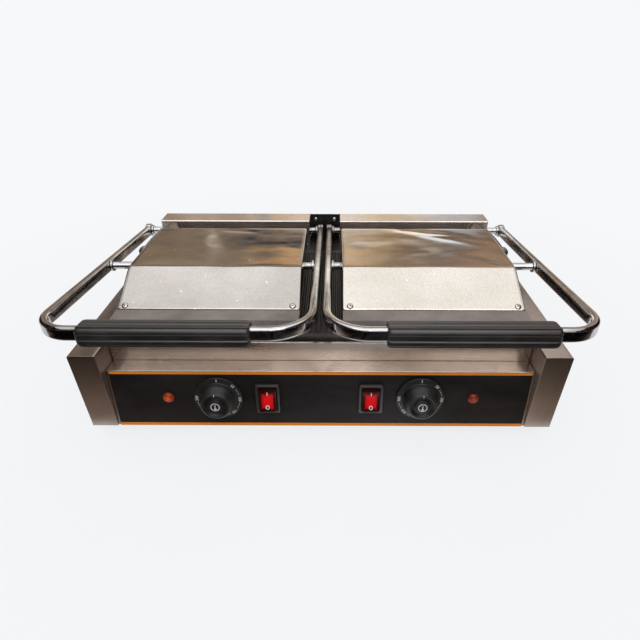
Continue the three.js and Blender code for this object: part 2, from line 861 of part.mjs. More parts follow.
function handleBar() {
  const outerX = handleOuterX - barThickness / 2;
  const innerX = handleInnerX + barThickness / 2;
  const corners = [
    inHandlePlane(innerX, 0), inHandlePlane(innerX, handleLength),
    inHandlePlane(outerX, handleLength), inHandlePlane(outerX, 0),
  ];
  const path = filletedPath(corners, [innerBend, outerBend], bendSteps);
  const section = shapeSection(roundedRectangle(barThickness, barHeight, barEdge), 3);
  const eye = (x) => bar('x', eyeRadius, x - barThickness / 2, x + barThickness / 2, [hingeY, hingeZ], 16);
  return join(swept(path, section, planeNormal), eye(innerX), eye(outerX));
}

// Points round a rounded rectangle with grooves running along the grip
function gripSection(share) {
  const shape = roundedRectangle(gripDepth, gripHeight, gripCorner);
  return shape.getSpacedPoints(gripRidges * pointsPerRidge).slice(0, -1).map((p, i) => {
    const grooved = i % pointsPerRidge >= crestPoints ? gripGroove : 0;
    const length = p.length() - grooved;
    return p.setLength(length * share);
  });
}

function grip() {
  const [x0, x1] = [gripInnerEnd, gripOuterEnd];
  const stations = [[x0, gripEndShare], [x0 + gripEndTaper, 1], [x1 - gripEndTaper, 1], [x1, gripEndShare]];
  const rings = stations.map(([x, share]) => gripSection(share).map((p) => inHandlePlane(x, handleLength)
    .addScaledVector(forward, -p.x)
    .addScaledVector(planeNormal, p.y)));
  const hollowSection = roundedRectangle(barThickness + 2 * clearance, barHeight + 2 * clearance, barEdge);
  const hollowPath = [inHandlePlane(x0 - overrun, handleLength), inHandlePlane(x1 + overrun, handleLength)];
  const hollow = swept(hollowPath, shapeSection(hollowSection, 3), planeNormal);
  return cut(loft(rings), hollow);
}

function hingeShaft() {
  const [from, to] = [innerArmFace + clearance, armInnerFace - clearance];
  const place = [hingeY, hingeZ];
  const anchor = springX + springPitch * (springTurns / 2 + 1) + collarWidth;
  return join(
    bar('x', shaftRadius, from, to, place),
    bar('x', collarRadius, from, from + collarWidth, place),
    bar('x', collarRadius, to - collarWidth, to, place),
    bar('x', collarRadius, anchor, anchor + 2 * collarWidth, place),
  );
}

function pivotRod() {
  const [from, to] = [innerArmFace + clearance, armInnerFace - clearance];
  const place = [pivotY, pivotZ];
  return join(
    bar('x', pivotRadius, from, to, place),
    bar('x', collarRadius, from, from + collarWidth, place),
    bar('x', collarRadius, to - collarWidth, to, place),
  );
}

// Upper plates

function upperCasting() {
  const x = [upperInnerX, upperOuterX];
  const y = [upperFrontY, upperBackY];
  const crest = ribCrestZ + clearance;
  const root = crest + ribRise;
  const rimBottom = crest + ribRise / 3;
  const field = [x[0] + upperMargin, x[1] - upperMargin];
  const ribsY = [y[0] + upperMargin, y[1] - upperMargin];
  const slab = block(x, y, [rimBottom, upperTopZ]);
  const bed = block(field, ribsY, [rimBottom - overrun, root]);
  const lugs = [x[0] + lugInset, x[1] - lugInset].map((middle) => {
    const section = new THREE.Shape();
    section.moveTo(pivotY - lugRadius, upperTopZ - ribRise);
    section.lineTo(pivotY + lugRadius, upperTopZ - ribRise);
    section.absarc(pivotY, pivotZ, lugRadius, 0, Math.PI, false);
    section.closePath();
    return alongX(section, middle - lugThickness / 2, middle + lugThickness / 2, 6);
  });
  const bore = bar('x', pivotRadius + runningGap, x[0], x[1], [pivotY, pivotZ]);
  return cut(join(cut(slab, bed), ribComb(field, ribsY, root, -1), ...lugs), bore);
}

function upperCover() {
  const corners = [
    [coverFrontY, coverBottom], [coverBackY, coverBottom],
    [coverBackY, coverTopZ], [coverFoldY, coverTopZ],
  ];
  const inside = inset(corners, [-overrun, coverSheet, coverSheet, coverSheet]);
  const folds = [0, 0, coverRearFold, coverFold];
  const insideFolds = [0, 0, coverRearFold - coverSheet, coverFold - coverSheet];
  const [x0, x1] = [upperInnerX, upperOuterX];
  return cut(
    alongX(roundedOutline(corners, folds), x0, x1),
    alongX(roundedOutline(inside, insideFolds), x0 + coverSheet, x1 - coverSheet),
    bar('x', pivotRadius + 2 * runningGap, x0 - overrun, x1 + overrun, [pivotY, pivotZ]),
    bar('x', glandStemRadius + clearance, x1 - overrun, x1 + overrun, [elbowY, elbowZ]),
  );
}

// A heating element bent into four runs; its cold ends are at the back
function heatingElement(z) {
  const [near, far] = [upperInnerX + elementInset, upperOuterX - elementInset];
  const [frontY, backY] = [upperFrontY + elementFrontInset, upperBackY - elementBackInset];
  const runs = [near, upperInnerX + elementInnerRun, upperOuterX - elementInnerRun, far];
  const at = (x, y) => new THREE.Vector3(x, y, z);
  const corners = [
    at(runs[0], backY), at(runs[0], frontY),
    at(runs[1], frontY), at(runs[1], backY - elementTurnBack),
    at(runs[2], backY - elementTurnBack), at(runs[2], frontY),
    at(runs[3], frontY), at(runs[3], backY),
  ];
  const tight = (runs[1] - runs[0]) * elementBendShare;
  const wide = (runs[2] - runs[1]) * elementBendShare;
  const path = filletedPath(corners, [tight, tight, wide, wide, tight, tight], elementSteps);
  return swept(path, circleSection(elementRadius, elementSides), zAxis);
}

// Armoured conduits

function elbow() {
  const z = elbowZ;
  const wall = upperOuterX + clearance;
  const knee = new THREE.SphereGeometry(elbowRadius, 10, 7).translate(elbowX, elbowY, z);
  const inside = upperOuterX - coverSheet - glandInside;
  return join(
    bar('x', glandStemRadius, inside, elbowX, [elbowY, z]),
    bar('x', elbowNutRadius, wall, wall + elbowNutThickness, [elbowY, z], 6),
    knee,
    bar('y', elbowRadius, elbowY, elbowY + elbowReach, [elbowX, z], 12),
  );
}

function deckGland() {
  const seat = deckTop + clearance;
  return turned([
    [conduitBore, -glandInside], [glandStemRadius, -glandInside], [glandStemRadius, 0],
    [glandRadius, 0], [glandRadius, glandRise / 2], [glandStemRadius, glandRise - clearance],
    [conduitBore, glandRise - clearance], [conduitBore, -glandInside],
  ], 12).translate(glandX, glandY, seat);
}

// The route of a conduit: back from the elbow, over, and down into the deck
function conduitPath() {
  const start = new THREE.Vector3(elbowX, elbowY + elbowReach + clearance, elbowZ);
  const end = new THREE.Vector3(glandX, glandY, deckTop + glandRise + clearance);
  const leave = start.clone().add(new THREE.Vector3(0, conduitPullBack, conduitLift));
  const enter = end.clone().add(new THREE.Vector3(0, 0, conduitPullUp));
  return new THREE.CubicBezierCurve3(start, leave, enter, end);
}

// One tube: ribs outside as pairs of rings, a smooth bore inside
function conduit() {
  const curve = conduitPath();
  const ringCount = 2 * conduitRibs;
  const points = curve.getSpacedPoints(ringCount);
  const frames = transportedNormals(points);
  const ring = (i, radius) => circleSection(radius, conduitSides).map(([u, v]) => points[i].clone()
    .addScaledVector(frames[i].normal, u)
    .addScaledVector(frames[i].binormal, v));
  const outer = points.map((_, i) => ring(i, i % 2 ? conduitRadius : conduitValley));
  const bore = [];
  for (let i = 0; i < ringCount; i += 2 * ribsPerBoreRing) bore.push(ring(i, conduitBore));
  bore.push(ring(ringCount, conduitBore));
  const rings = [...outer, ...bore.reverse()];
  const triangles = [];
  rings.forEach((_, row) => {
    const next = (row + 1) % rings.length;
    for (let i = 0; i < conduitSides; i += 1) {
      const j = (i + 1) % conduitSides;
      const [a, b] = [row * conduitSides + i, row * conduitSides + j];
      const [c, d] = [next * conduitSides + j, next * conduitSides + i];
      triangles.push(a, b, c, a, c, d);
    }
  });
  return new THREE.BufferGeometry().setFromPoints(rings.flat()).setIndex(triangles);
}

// Controls, in the panel's own frame

function knob() {
  const back = fasciaFront + knobStandoff;
  const top = back + knobRise;
  const skirtTop = back + knobSkirtThickness;
  const round = knobTopRadius / 16;
  const dish = top - knobDishDepth;
  const socket = thermostatShaftRadius + clearance;
  const body = turned([
    [0, back + knobSocketDepth], [socket, back + knobSocketDepth], [socket, back],
    [knobSkirtRadius, back], [knobSkirtRadius, skirtTop - round], [knobSkirtRadius - round, skirtTop],
    [knobBodyRadius, skirtTop + round], [knobTopRadius, top - round], [knobTopRadius - round, top],
    [knobDishRadius, top], [knobDishRadius - round, dish], [knobHubRadius, dish],
    [knobHubRadius, top], [knobHubRadius - round, top + round / 2], [0, top + round / 2],
  ], 20);
  const pointer = block(
    [-knobPointerWidth / 2, knobPointerWidth / 2],
    [knobDishRadius, knobTopRadius + round],
    [dish, top + knobPointerRise],
  );
  return join(body, pointer);
}

function lamp() {
  const seat = fasciaFront + clearance;
  const nutTop = -panelWall - clearance;
  const lens = lampLensRadius - lampFlange / 2;
  return turned([
    [0, -lampDepth], [lampStemRadius, -lampDepth], [lampStemRadius, nutTop - lampNutThickness],
    [lampNutRadius, nutTop - lampNutThickness], [lampNutRadius, nutTop], [lampStemRadius, nutTop],
    [lampStemRadius, seat], [lampLensRadius, seat], [lampLensRadius, seat + lampFlange],
    [lens, seat + lampFlange], [lens * 0.85, seat + lampLensRise * 0.8], [lens / 2, seat + lampLensRise],
    [0, seat + lampLensRise],
  ], 14);
}

function thermostat() {
  const front = -panelWall - clearance;
  const half = thermostatSize / 2;
  const shaftEnd = fasciaFront + knobStandoff + knobSocketDepth - clearance;
  return join(
    block([-half, half], [-half, half], [front - thermostatDepth, front]),
    bar('z', thermostatBushRadius, front - overrun / 2, fasciaFront, [0, 0], 12),
    bar('z', thermostatShaftRadius, front, shaftEnd, [0, 0], 12),
    block(
      [-terminalWidth / 2, terminalWidth / 2],
      [half / 2, half / 2 + terminalThickness],
      [front - thermostatDepth - terminalLength, front - thermostatDepth + overrun],
    ),
  );
}

const pocketWidth = rockerWidth + 2 * clearance;
const pocketHeight = rockerHeight + 2 * rockerSwingRoom;

function switchHousing() {
  const seat = fasciaFront + clearance;
  const rim = extruded(roundedRectangle(bezelWidth, bezelHeight, bezelCorner), bezelRise, 3);
  const width = bezelWidth - 2 * switchBodyMargin;
  const height = bezelHeight - 2 * switchBodyMargin;
  const body = block(
    [-width / 2, width / 2],
    [-height / 2, height / 2],
    [-switchBodyDepth, seat + bezelRise / 2],
  );
  const pocket = block(
    [-pocketWidth / 2, pocketWidth / 2],
    [-pocketHeight / 2, pocketHeight / 2],
    [-switchPocketDepth, seat + bezelRise + overrun],
  );
  const blades = [-1, 0, 1].map((row) => block(
    [-terminalWidth / 2, terminalWidth / 2],
    [row * height / 3 - terminalThickness / 2, row * height / 3 + terminalThickness / 2],
    [-switchBodyDepth - terminalLength, clearance - switchBodyDepth],
  ));
  return join(cut(join(rim.translate(0, 0, seat), body), pocket), ...blades);
}

// A rocker with a dished face, rocked so that its upper end is pressed in
function rocker() {
  const face = fasciaFront + clearance + bezelRise - rockerPivotDepth;
  const half = rockerHeight / 2;
  const section = outline([
    [-half, -rockerKeel], [half, -rockerKeel],
    [half, rockerRise], [half / 2, rockerRise - rockerDish * 0.7], [0, rockerRise - rockerDish],
    [-half / 2, rockerRise - rockerDish * 0.7], [-half, rockerRise],
  ]);
  const body = alongX(section, -rockerWidth / 2, rockerWidth / 2);
  return body.rotateX(-rockerTilt).translate(0, 0, face);
}

// Assembly

addPair('side_box', sideBox(), 'stainless');
add('base_pan', basePan(), 'zinc');
for (const [end, y] of [['front', footInsetY], ['rear', bodyDepth - footInsetY]]) {
  for (const [side, sign] of Object.entries(sides)) {
    add(`foot_${end}_${side}`, geometryOf(solid(foot())), 'rubber')
      .position.set(sign * (bodyWidth / 2 - footInsetX), y, 0);
  }
}
add('front_panel', frontPanel(), 'stainless');
add('control_fascia', controlFascia(), 'fascia', panelGroup);
add('grease_tray', greaseTray(), 'stainless');
add('lower_plate', lowerPlate(), 'castIron');
addPair('plate_rail', plateRail(), 'zinc');
addPair('lower_element', heatingElement(plateBottom - clearance - elementRadius), 'elementSheath');
add('heat_shield', geometryOf(solid(heatShield())), 'zinc');
add('rear_deck', rearDeck(), 'stainless');
add('back_panel', backPanel(), 'stainless');
add('power_inlet', geometryOf(solid(powerInlet())), 'blackPlastic');
add('terminal_block', terminalBlock(), 'ceramic');
add('rear_housing', rearHousing(), 'stainless');
addPair('hinge_bearing_outer', hingeBearing(bearingOuterX), 'zinc');
addPair('hinge_bearing_inner', hingeBearing(bearingInnerX), 'zinc');
addPair('torsion_spring', torsionSpring(), 'springSteel');

addPair('handle_bar', handleBar(), 'chrome');
addPair('grip', grip(), 'blackPlastic');
addPair('hinge_shaft', hingeShaft(), 'chrome');
addPair('pivot_rod', pivotRod(), 'chrome');

addPair('upper_casting', upperCasting(), 'castIron');
addPair('upper_cover', upperCover(), 'cover');
addPair('upper_element', heatingElement(upperTopZ + clearance + elementRadius), 'elementSheath');
addPair('conduit_elbow', elbow(), 'zinc');
addPair('conduit', conduit(), 'zinc');
addPair('conduit_gland', deckGland(), 'zinc');

for (const [side, sign] of Object.entries(sides)) {
  const onPanel = (name, geometry, finish, x) => {
    const mesh = add(`${name}_${side}`, geometryOf(solid(geometry)), finish, panelGroup);
    mesh.position.set(x, controlHeight, 0);
  };
  onPanel('lamp', lamp(), 'amberLens', sign * lampX);
  onPanel('thermostat', thermostat(), 'zinc', sign * knobX + controlShift);
  onPanel('knob', knob(), 'blackPlastic', sign * knobX + controlShift);
  onPanel('switch_housing', switchHousing(), 'blackPlastic', sign * switchX + controlShift);
  onPanel('rocker', rocker(), 'redLens', sign * switchX + controlShift);
}

// Half of the part's depth lies on each side of Y = 0
press.updateMatrixWorld(true);
const reachInY = new THREE.Box3().setFromObject(press);
press.position.y = -(reachInY.min.y + reachInY.max.y) / 2;
press.updateMatrixWorld(true);

export default press;
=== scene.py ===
import math
from functools import partial

import bmesh
import bpy
from mathutils import Matrix, Vector, noise


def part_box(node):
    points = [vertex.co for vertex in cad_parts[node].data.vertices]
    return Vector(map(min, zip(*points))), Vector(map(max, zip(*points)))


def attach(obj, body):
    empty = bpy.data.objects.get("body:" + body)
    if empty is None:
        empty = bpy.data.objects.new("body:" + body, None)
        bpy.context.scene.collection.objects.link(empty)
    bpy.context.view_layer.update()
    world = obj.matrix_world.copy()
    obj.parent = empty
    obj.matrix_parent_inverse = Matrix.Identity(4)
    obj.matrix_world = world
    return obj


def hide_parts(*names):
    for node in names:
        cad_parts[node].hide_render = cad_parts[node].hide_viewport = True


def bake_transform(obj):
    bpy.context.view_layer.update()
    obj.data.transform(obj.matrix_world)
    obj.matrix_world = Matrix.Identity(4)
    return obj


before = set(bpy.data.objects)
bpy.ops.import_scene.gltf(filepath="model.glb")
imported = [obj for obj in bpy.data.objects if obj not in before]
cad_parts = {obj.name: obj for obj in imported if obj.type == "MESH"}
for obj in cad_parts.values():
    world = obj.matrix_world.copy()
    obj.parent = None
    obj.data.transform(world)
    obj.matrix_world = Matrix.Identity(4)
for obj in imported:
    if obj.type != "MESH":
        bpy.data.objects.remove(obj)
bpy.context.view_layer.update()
scene = bpy.context.scene
print("frame loaded")

# Places shared by the pieces, in metres, read from the CAD frame
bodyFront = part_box("side_box_left")[0].y
sides = {"left": -1, "right": 1}
rightward = Vector((1, 0, 0))


# x, y behind the body's front and z above the floor, all in millimetres
def place(x, y, z):
    return Vector((x / 1000, bodyFront + y / 1000, z / 1000))


def boxCentre(node):
    low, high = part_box(node)
    return (low + high) / 2


# Small tools for meshes

# Links a smooth mesh as a piece: what it rides on and the CAD nodes it stands for, which it hides. The finish
# slot is not used
def addPiece(name, data, sharpAngle, body, slot, *nodes):
    data.shade_smooth()
    data.set_sharp_from_angle(angle=math.radians(sharpAngle))
    piece = bpy.data.objects.new(name, data)
    scene.collection.objects.link(piece)
    if body:
        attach(piece, body)
    if nodes:
        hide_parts(*nodes)
    return piece


# The same from (vertices, faces), with the faces turned outwards
def newPiece(name, shape, material, sharpAngle, *said):
    data = bpy.data.meshes.new(name)
    data.from_pydata([tuple(v) for v in shape[0]], [], shape[1])
    mesh = bmesh.new()
    mesh.from_mesh(data)
    bmesh.ops.recalc_face_normals(mesh, faces=mesh.faces)
    mesh.to_mesh(data)
    mesh.free()
    data.materials.append(material)
    return addPiece(name, data, sharpAngle, *said)


# Vertices and faces of a skin through rings that have the same number of points
def loft(rings, closedEnds=True):
    count = len(rings[0])
    vertices = [point for ring in rings for point in ring]
    last = len(vertices) - count
    faces = []
    for row in range(0, last, count):
        for i in range(count):
            j = (i + 1) % count
            faces.append((row + i, row + j, row + count + j, row + count + i))
    if closedEnds:
        faces += [tuple(range(count))[::-1], tuple(range(last, last + count))]
    return vertices, faces


def joined(shapes):
    vertices, faces = [], []
    for points, polygons in shapes:
        faces += [tuple(i + len(vertices) for i in polygon) for polygon in polygons]
        vertices += points
    return vertices, faces


# A curve of steps from start to end that is drawn towards the corner
def roundCorner(start, corner, end, steps):
    shares = [k / steps for k in range(steps + 1)]
    return [start * (1 - t) ** 2 + corner * 2 * t * (1 - t) + end * t ** 2 for t in shares]


# A rounded rectangle as (u, v) pairs, counter-clockwise
def roundedSection(width, height, radius, steps=6):
    points = []
    for k, (cu, cv) in enumerate(((1, 1), (-1, 1), (-1, -1), (1, -1))):
        for i in range(steps + 1):
            turn = math.pi / 2 * (k + i / steps)
            points.append((cu * (width / 2 - radius) + radius * math.cos(turn),
                           cv * (height / 2 - radius) + radius * math.sin(turn)))
    return points


# The first stations of a solid whose edge is rounded, as (distance along it, inset) pairs
def edgeStations(start, edge):
    return [(start + share * edge, inset * edge) for share, inset in ((0, 1), (0.3, 0.3), (1, 0))]


# A path with each inner corner turned into an arc
def filletedPath(corners, radii, steps):
    points = [corners[0]]
    for i, radius in enumerate(radii, start=1):
        before = (corners[i - 1] - corners[i]).normalized()
        after = (corners[i + 1] - corners[i]).normalized()
        half = before.angle(after) / 2
        centre = corners[i] + (before + after).normalized() * (radius / math.sin(half))
        start = corners[i] + before * (radius / math.tan(half)) - centre
        axis = -before.cross(after).normalized()
        for k in range(steps + 1):
            points.append(centre + Matrix.Rotation((math.pi - 2 * half) * k / steps, 3, axis) @ start)
    points.append(corners[-1])
    return points


# Rings of the section along a flat path; up is the normal of the path's plane
def sweep(path, section, up):
    rings = []
    for i, point in enumerate(path):
        before, after = path[max(i - 1, 0)], path[min(i + 1, len(path) - 1)]
        across = up.cross((after - before).normalized())
        rings.append([point + across * u + up * v for u, v in section])
    return rings


# Rounds the inner corners of a (radius, height) profile
def softProfile(points, radius, steps):
    out = [points[0]]
    for before, corner, after in zip(points, points[1:], points[2:]):
        c = Vector(corner)
        a, b = Vector(before) - c, Vector(after) - c
        reach = min(radius, a.length * 0.45, b.length * 0.45)  # so that two curves never meet
        curve = roundCorner(c + a.normalized() * reach, c, c + b.normalized() * reach, steps)
        out += [tuple(p) for p in curve]
    out.append(points[-1])
    return out


# A turned solid from (radius, height along axis) pairs in millimetres, from axis to axis, its corners
# rounded by soft. A hollow one closes on itself instead
def turned(profile, origin, axis, segments, soft=0, steps=3, hollow=False):
    points = softProfile(profile, soft, steps) if soft else profile
    side = axis.orthogonal().normalized() if abs(axis.x) > 0.9 else rightward
    other = axis.cross(side)
    rays = [side * math.cos(2 * math.pi * i / segments) + other * math.sin(2 * math.pi * i / segments)
            for i in range(segments)]
    rings = [[origin + axis * (height / 1000) + ray * (radius / 1000) for ray in rays]
             for radius, height in (points if hollow else points[1:-1])]
    return loft(rings + rings[:1], False) if hollow else loft(rings)


# Small tools for node trees and materials

# sRGB hex to linear
def colour(code):
    values = [int(code[i:i + 2], 16) / 255 for i in (1, 3, 5)]
    linear = [v / 12.92 if v <= 0.04045 else ((v + 0.055) / 1.055) ** 2.4 for v in values]
    return (*linear, 1)


# Gives inputs a value or another node's output. A list is for the inputs that show, in the node's own
# order, and None leaves one as it is
def fill(node, inputs):
    shown = [socket for socket in node.inputs if socket.enabled]
    for key, value in inputs.items() if isinstance(inputs, dict) else enumerate(inputs):
        socket = shown[key] if isinstance(key, int) else node.inputs[key]
        if isinstance(value, bpy.types.NodeSocket):
            node.id_data.links.new(value, socket)
        elif value is not None:
            socket.default_value = value


# Adds a node with its inputs and settings and returns the first output that shows. stops are the
# (position, hex) pairs of a ramp
def addNode(tree, kind, inputs=(), stops=(), **settings):
    node = tree.nodes.new(kind if "Node" in kind else "ShaderNode" + kind)
    for key, value in settings.items():
        setattr(node, key, value)
    if stops:
        elements = node.color_ramp.elements
        while len(elements) < len(stops):
            elements.new(0.5)
        for element, (position, code) in zip(elements, stops):
            element.position = position
            element.color = colour(code)
    fill(node, inputs)
    return next((socket for socket in node.outputs if socket.enabled), None)


multiply = {"data_type": "RGBA", "blend_type": "MULTIPLY"}


# The material and a function that adds a node to it
def newMaterial(name):
    material = bpy.data.materials.new(name)
    material.use_nodes = True
    return material, partial(addNode, material.node_tree)


def finished(material, inputs):
    fill(material.node_tree.nodes["Principled BSDF"], inputs)
    return material


# Gives a material a look of its own in the shader's place
def showInstead(material, shown):
    fill(material.node_tree.nodes["Material Output"], {"Surface": shown})


# A point of the piece, stretched, turned and moved for a pattern. Noise takes it with scale, detail and
# roughness
def objectPoint(add, stretch=(1, 1, 1), turn=(0, 0, 0), shift=(0, 0, 0)):
    return add("Mapping", (add("TexCoord").node.outputs["Object"], shift, turn, stretch))


# Small tools for Geometry Nodes

# The tree, a function that adds a node to it, and its inputs
def newTree(name, floats, whole=()):
    tree = bpy.data.node_groups.new(name, "GeometryNodeTree")
    kinds = {"Geometry": "Geometry", **dict.fromkeys(floats, "Float"), **dict.fromkeys(whole, "Int")}
    for label, kind in (*kinds.items(), ("Finish", "Material")):
        tree.interface.new_socket(label, in_out="INPUT", socket_type="NodeSocket" + kind)
    tree.interface.new_socket("Geometry", in_out="OUTPUT", socket_type="NodeSocketGeometry")
    return tree, partial(addNode, tree), tree.nodes.new("NodeGroupInput").outputs


# Ends the tree in plain geometry with its material
def endTree(add, geometry, finish):
    real = add("GeometryNodeRealizeInstances", [geometry])
    add("NodeGroupOutput", [add("GeometryNodeSetMaterial", (real, None, finish))])


# Runs a tree on a bare mesh and keeps the result as a plain mesh
def grown(vertices, edges, faces, tree, values):
    seed = bpy.data.meshes.new("seed")
    seed.from_pydata([tuple(v) for v in vertices], edges, faces)
    holder = bpy.data.objects.new("seed", seed)
    scene.collection.objects.link(holder)
    modifier = holder.modifiers.new("grow", "NODES")
    modifier.node_group = tree
    sockets = {item.name: item.identifier for item in tree.interface.items_tree if item.in_out == "INPUT"}
    for label, value in values.items():
        modifier[sockets[label]] = value
    return plainMesh(holder)


# The evaluated mesh of an object that isn't needed any more
def plainMesh(holder):
    bpy.context.view_layer.update()
    data = bpy.data.meshes.new_from_object(holder.evaluated_get(bpy.context.evaluated_depsgraph_get()))
    bpy.data.objects.remove(holder)
    return data


# Pan heads with a crossed recess: one on each face of the seed mesh, square to it, each turned its own way
def screwTree():
    tree, add, given = newTree("screws", ("Head Radius", "Head Height", "Slot Width", "Slot Depth"),
                               ("Seed",))
    held = add("GeometryNodeCaptureAttribute", domain="FACE").node
    held.capture_items.new("VECTOR", "Facing")
    fill(held, {"Geometry": given["Geometry"], "Facing": add("GeometryNodeInputNormal")})
    spots = add("GeometryNodeMeshToPoints", [held.outputs["Geometry"]], mode="FACES")
    turn = add("FunctionNodeAlignRotationToVector", {"Vector": held.outputs["Facing"]}, axis="Z")
    chance = add("FunctionNodeRandomValue", (0.0, math.pi, None, given["Seed"]), data_type="FLOAT")
    spin = add("FunctionNodeAxisAngleToRotation", {"Angle": chance})
    spun = add("FunctionNodeRotateRotation", (turn, spin), rotation_space="LOCAL")
    ball = add("GeometryNodeMeshUVSphere", (24, 12, 1.0))
    shape = add("CombineXYZ", (given["Head Radius"], given["Head Radius"], given["Head Height"]))
    dome = add("GeometryNodeTransform", {"Geometry": ball, "Scale": shape})
    reach = add("Math", (given["Head Radius"], 1.1), operation="MULTIPLY")
    deep = add("Math", (given["Slot Depth"], 2.0), operation="MULTIPLY")
    lift = add("CombineXYZ", {"Z": given["Head Height"]})
    slots = []
    for size in ((reach, given["Slot Width"], deep), (given["Slot Width"], reach, deep)):
        cube = add("GeometryNodeMeshCube", [add("CombineXYZ", size)])
        slots.append(add("GeometryNodeTransform", {"Geometry": cube, "Translation": lift}))
    recess = add("GeometryNodeMeshBoolean", {"Mesh 1": dome, "Mesh 2": slots[0]}, operation="DIFFERENCE")
    fill(recess.node, {"Mesh 2": slots[1]})
    heads = add("GeometryNodeInstanceOnPoints", {"Points": spots, "Instance": recess, "Rotation": spun})
    endTree(add, heads, given["Finish"])
    return tree


# A tube along the seed's edges whose radius swells once for each turn of its armour
def hoseTree():
    tree, add, given = newTree("armouredHose", ("Radius", "Valley Share", "Turn Pitch", "Start"), ("Sides",))
    line = add("GeometryNodeMeshToCurve", [given["Geometry"]])
    step = add("Math", (given["Turn Pitch"], 8.0), operation="DIVIDE")
    even = add("GeometryNodeResampleCurve", (line, None, step), mode="LENGTH")
    along = add("GeometryNodeSplineParameter").node.outputs["Length"]
    travelled = add("Math", (along, given["Start"]), operation="ADD")
    turns = add("Math", (travelled, given["Turn Pitch"]), operation="DIVIDE")
    wave = add("Math", [add("Math", (turns, math.pi), operation="MULTIPLY")], operation="SINE")
    hump = add("Math", [wave], operation="ABSOLUTE")
    rounder = add("Math", (hump, 0.7), operation="POWER")
    swell = add("MapRange", {"Value": rounder, "To Min": given["Valley Share"], "To Max": 1.0})
    radius = add("Math", (swell, given["Radius"]), operation="MULTIPLY")
    ring = add("GeometryNodeCurvePrimitiveCircle", (given["Sides"], 1.0))
    endTree(add, add("GeometryNodeCurveToMesh", (even, ring, radius, True)), given["Finish"])
    return tree


# Flat round dots of ink on the seed's points, all leaning as the panel does
def dotTree():
    tree, add, given = newTree("inkDots", ("Dot Radius", "Thickness", "Lean"))
    disc = add("GeometryNodeMeshCylinder", {
        "Vertices": 12, "Radius": given["Dot Radius"], "Depth": given["Thickness"]})
    dots = add("GeometryNodeInstanceOnPoints", {
        "Points": given["Geometry"], "Instance": disc, "Rotation": add("CombineXYZ", [given["Lean"]])})
    endTree(add, dots, given["Finish"])
    return tree


# Finishes

# Stainless sheet after a belt: fine scratches one way, hand smudges that dull it, edges worn round.
# grain is the direction of the scratches as an axis number. Real scratches are 0.05 mm
# apart. They are drawn 0.4 mm apart so that they show. They blur reflections only across themselves.
def brushedSteel(name, grain, stops, roughness, smudge, wave):
    material, add = newMaterial(name)
    lines = objectPoint(add, [12 if k == grain else 2500 for k in range(3)])
    broad = objectPoint(add, [1.2 if k == grain else 9 for k in range(3)], shift=(3, 1, 2))
    scratches = add("TexNoise", (lines, 1, 3, 0.6))
    bands = add("TexNoise", (broad, 1.6, 3, 0.5))
    hands = add("TexNoise", (objectPoint(add, (14, 14, 14)), 1.3, 5, 0.62))
    tone = add("ValToRGB", [bands], stops)
    fine = add("ValToRGB", [scratches], [(0.25, "#ebe9e7"), (0.75, "#ffffff")])
    fresh = add("MapRange", (scratches, 0.3, 0.7, roughness - 0.04, roughness + 0.06))
    greasy = add("MapRange", (hands, 0.3, 0.7, -0.02, smudge))
    rounded = add("Bevel", [0.0011], samples=6)
    cut = add("Bump", {"Height": scratches, "Distance": 0.00001, "Strength": 0.25, "Normal": rounded})
    return finished(material, {
        "Base Color": add("Mix", (1.0, tone, fine), **multiply), "Metallic": 1, "Anisotropic": 0.9,
        "Roughness": add("Math", (fresh, greasy), operation="ADD"),
        "Tangent": add("CombineXYZ", [int(k != grain) for k in range(3)]),
        "Normal": add("Bump", {"Height": hands, "Distance": wave, "Strength": 0.8, "Normal": cut})})


# Thin stainless sheet as it comes from the rolls: a soft isotropic bloom, fine specks and wiped grease.
# The specks are 0.2 mm, drawn 0.9 mm apart so that they show. Across the flat it is wavy by tenths.
def milledSteel(name, stops, roughness, wave):
    material, add = newMaterial(name)
    bloom = add("TexNoise", (objectPoint(add, (9, 15, 9), shift=(2, 5, 1)), 1.0, 4, 0.55))
    specks = add("TexNoise", (objectPoint(add, (1000, 420, 420)), 1, 3, 0.65))
    wiped = add("TexNoise", (objectPoint(add, (9, 22, 9), (0, 0, 0.5)), 1.7, 6, 0.68))
    swell = add("TexNoise", (objectPoint(add, (9, 13, 9), (0, 0, 0.5)), 1.5, 2, 0.45))
    spots = add("TexVoronoi", {"Vector": objectPoint(add), "Scale": 55}, feature="F1")
    fleck = add("MapRange", (spots, 0.03, 0.08, 0.8, 0.0))
    tone = add("ValToRGB", [bloom], stops)
    grain = add("ValToRGB", [specks], [(0.3, "#e6e4e2"), (0.7, "#ffffff")])
    grained = add("Mix", (1.0, tone, grain), **multiply)
    fine = add("Bump", {"Height": specks, "Distance": 0.000015, "Strength": 0.5})
    return finished(material, {
        "Base Color": add("Mix", (fleck, grained, colour("#f2eee8")), data_type="RGBA"), "Metallic": 1,
        "Roughness": add("MapRange", (wiped, 0.3, 0.7, roughness - 0.05, roughness + 0.11)),
        "Normal": add("Bump", {"Height": swell, "Distance": wave, "Normal": fine})})


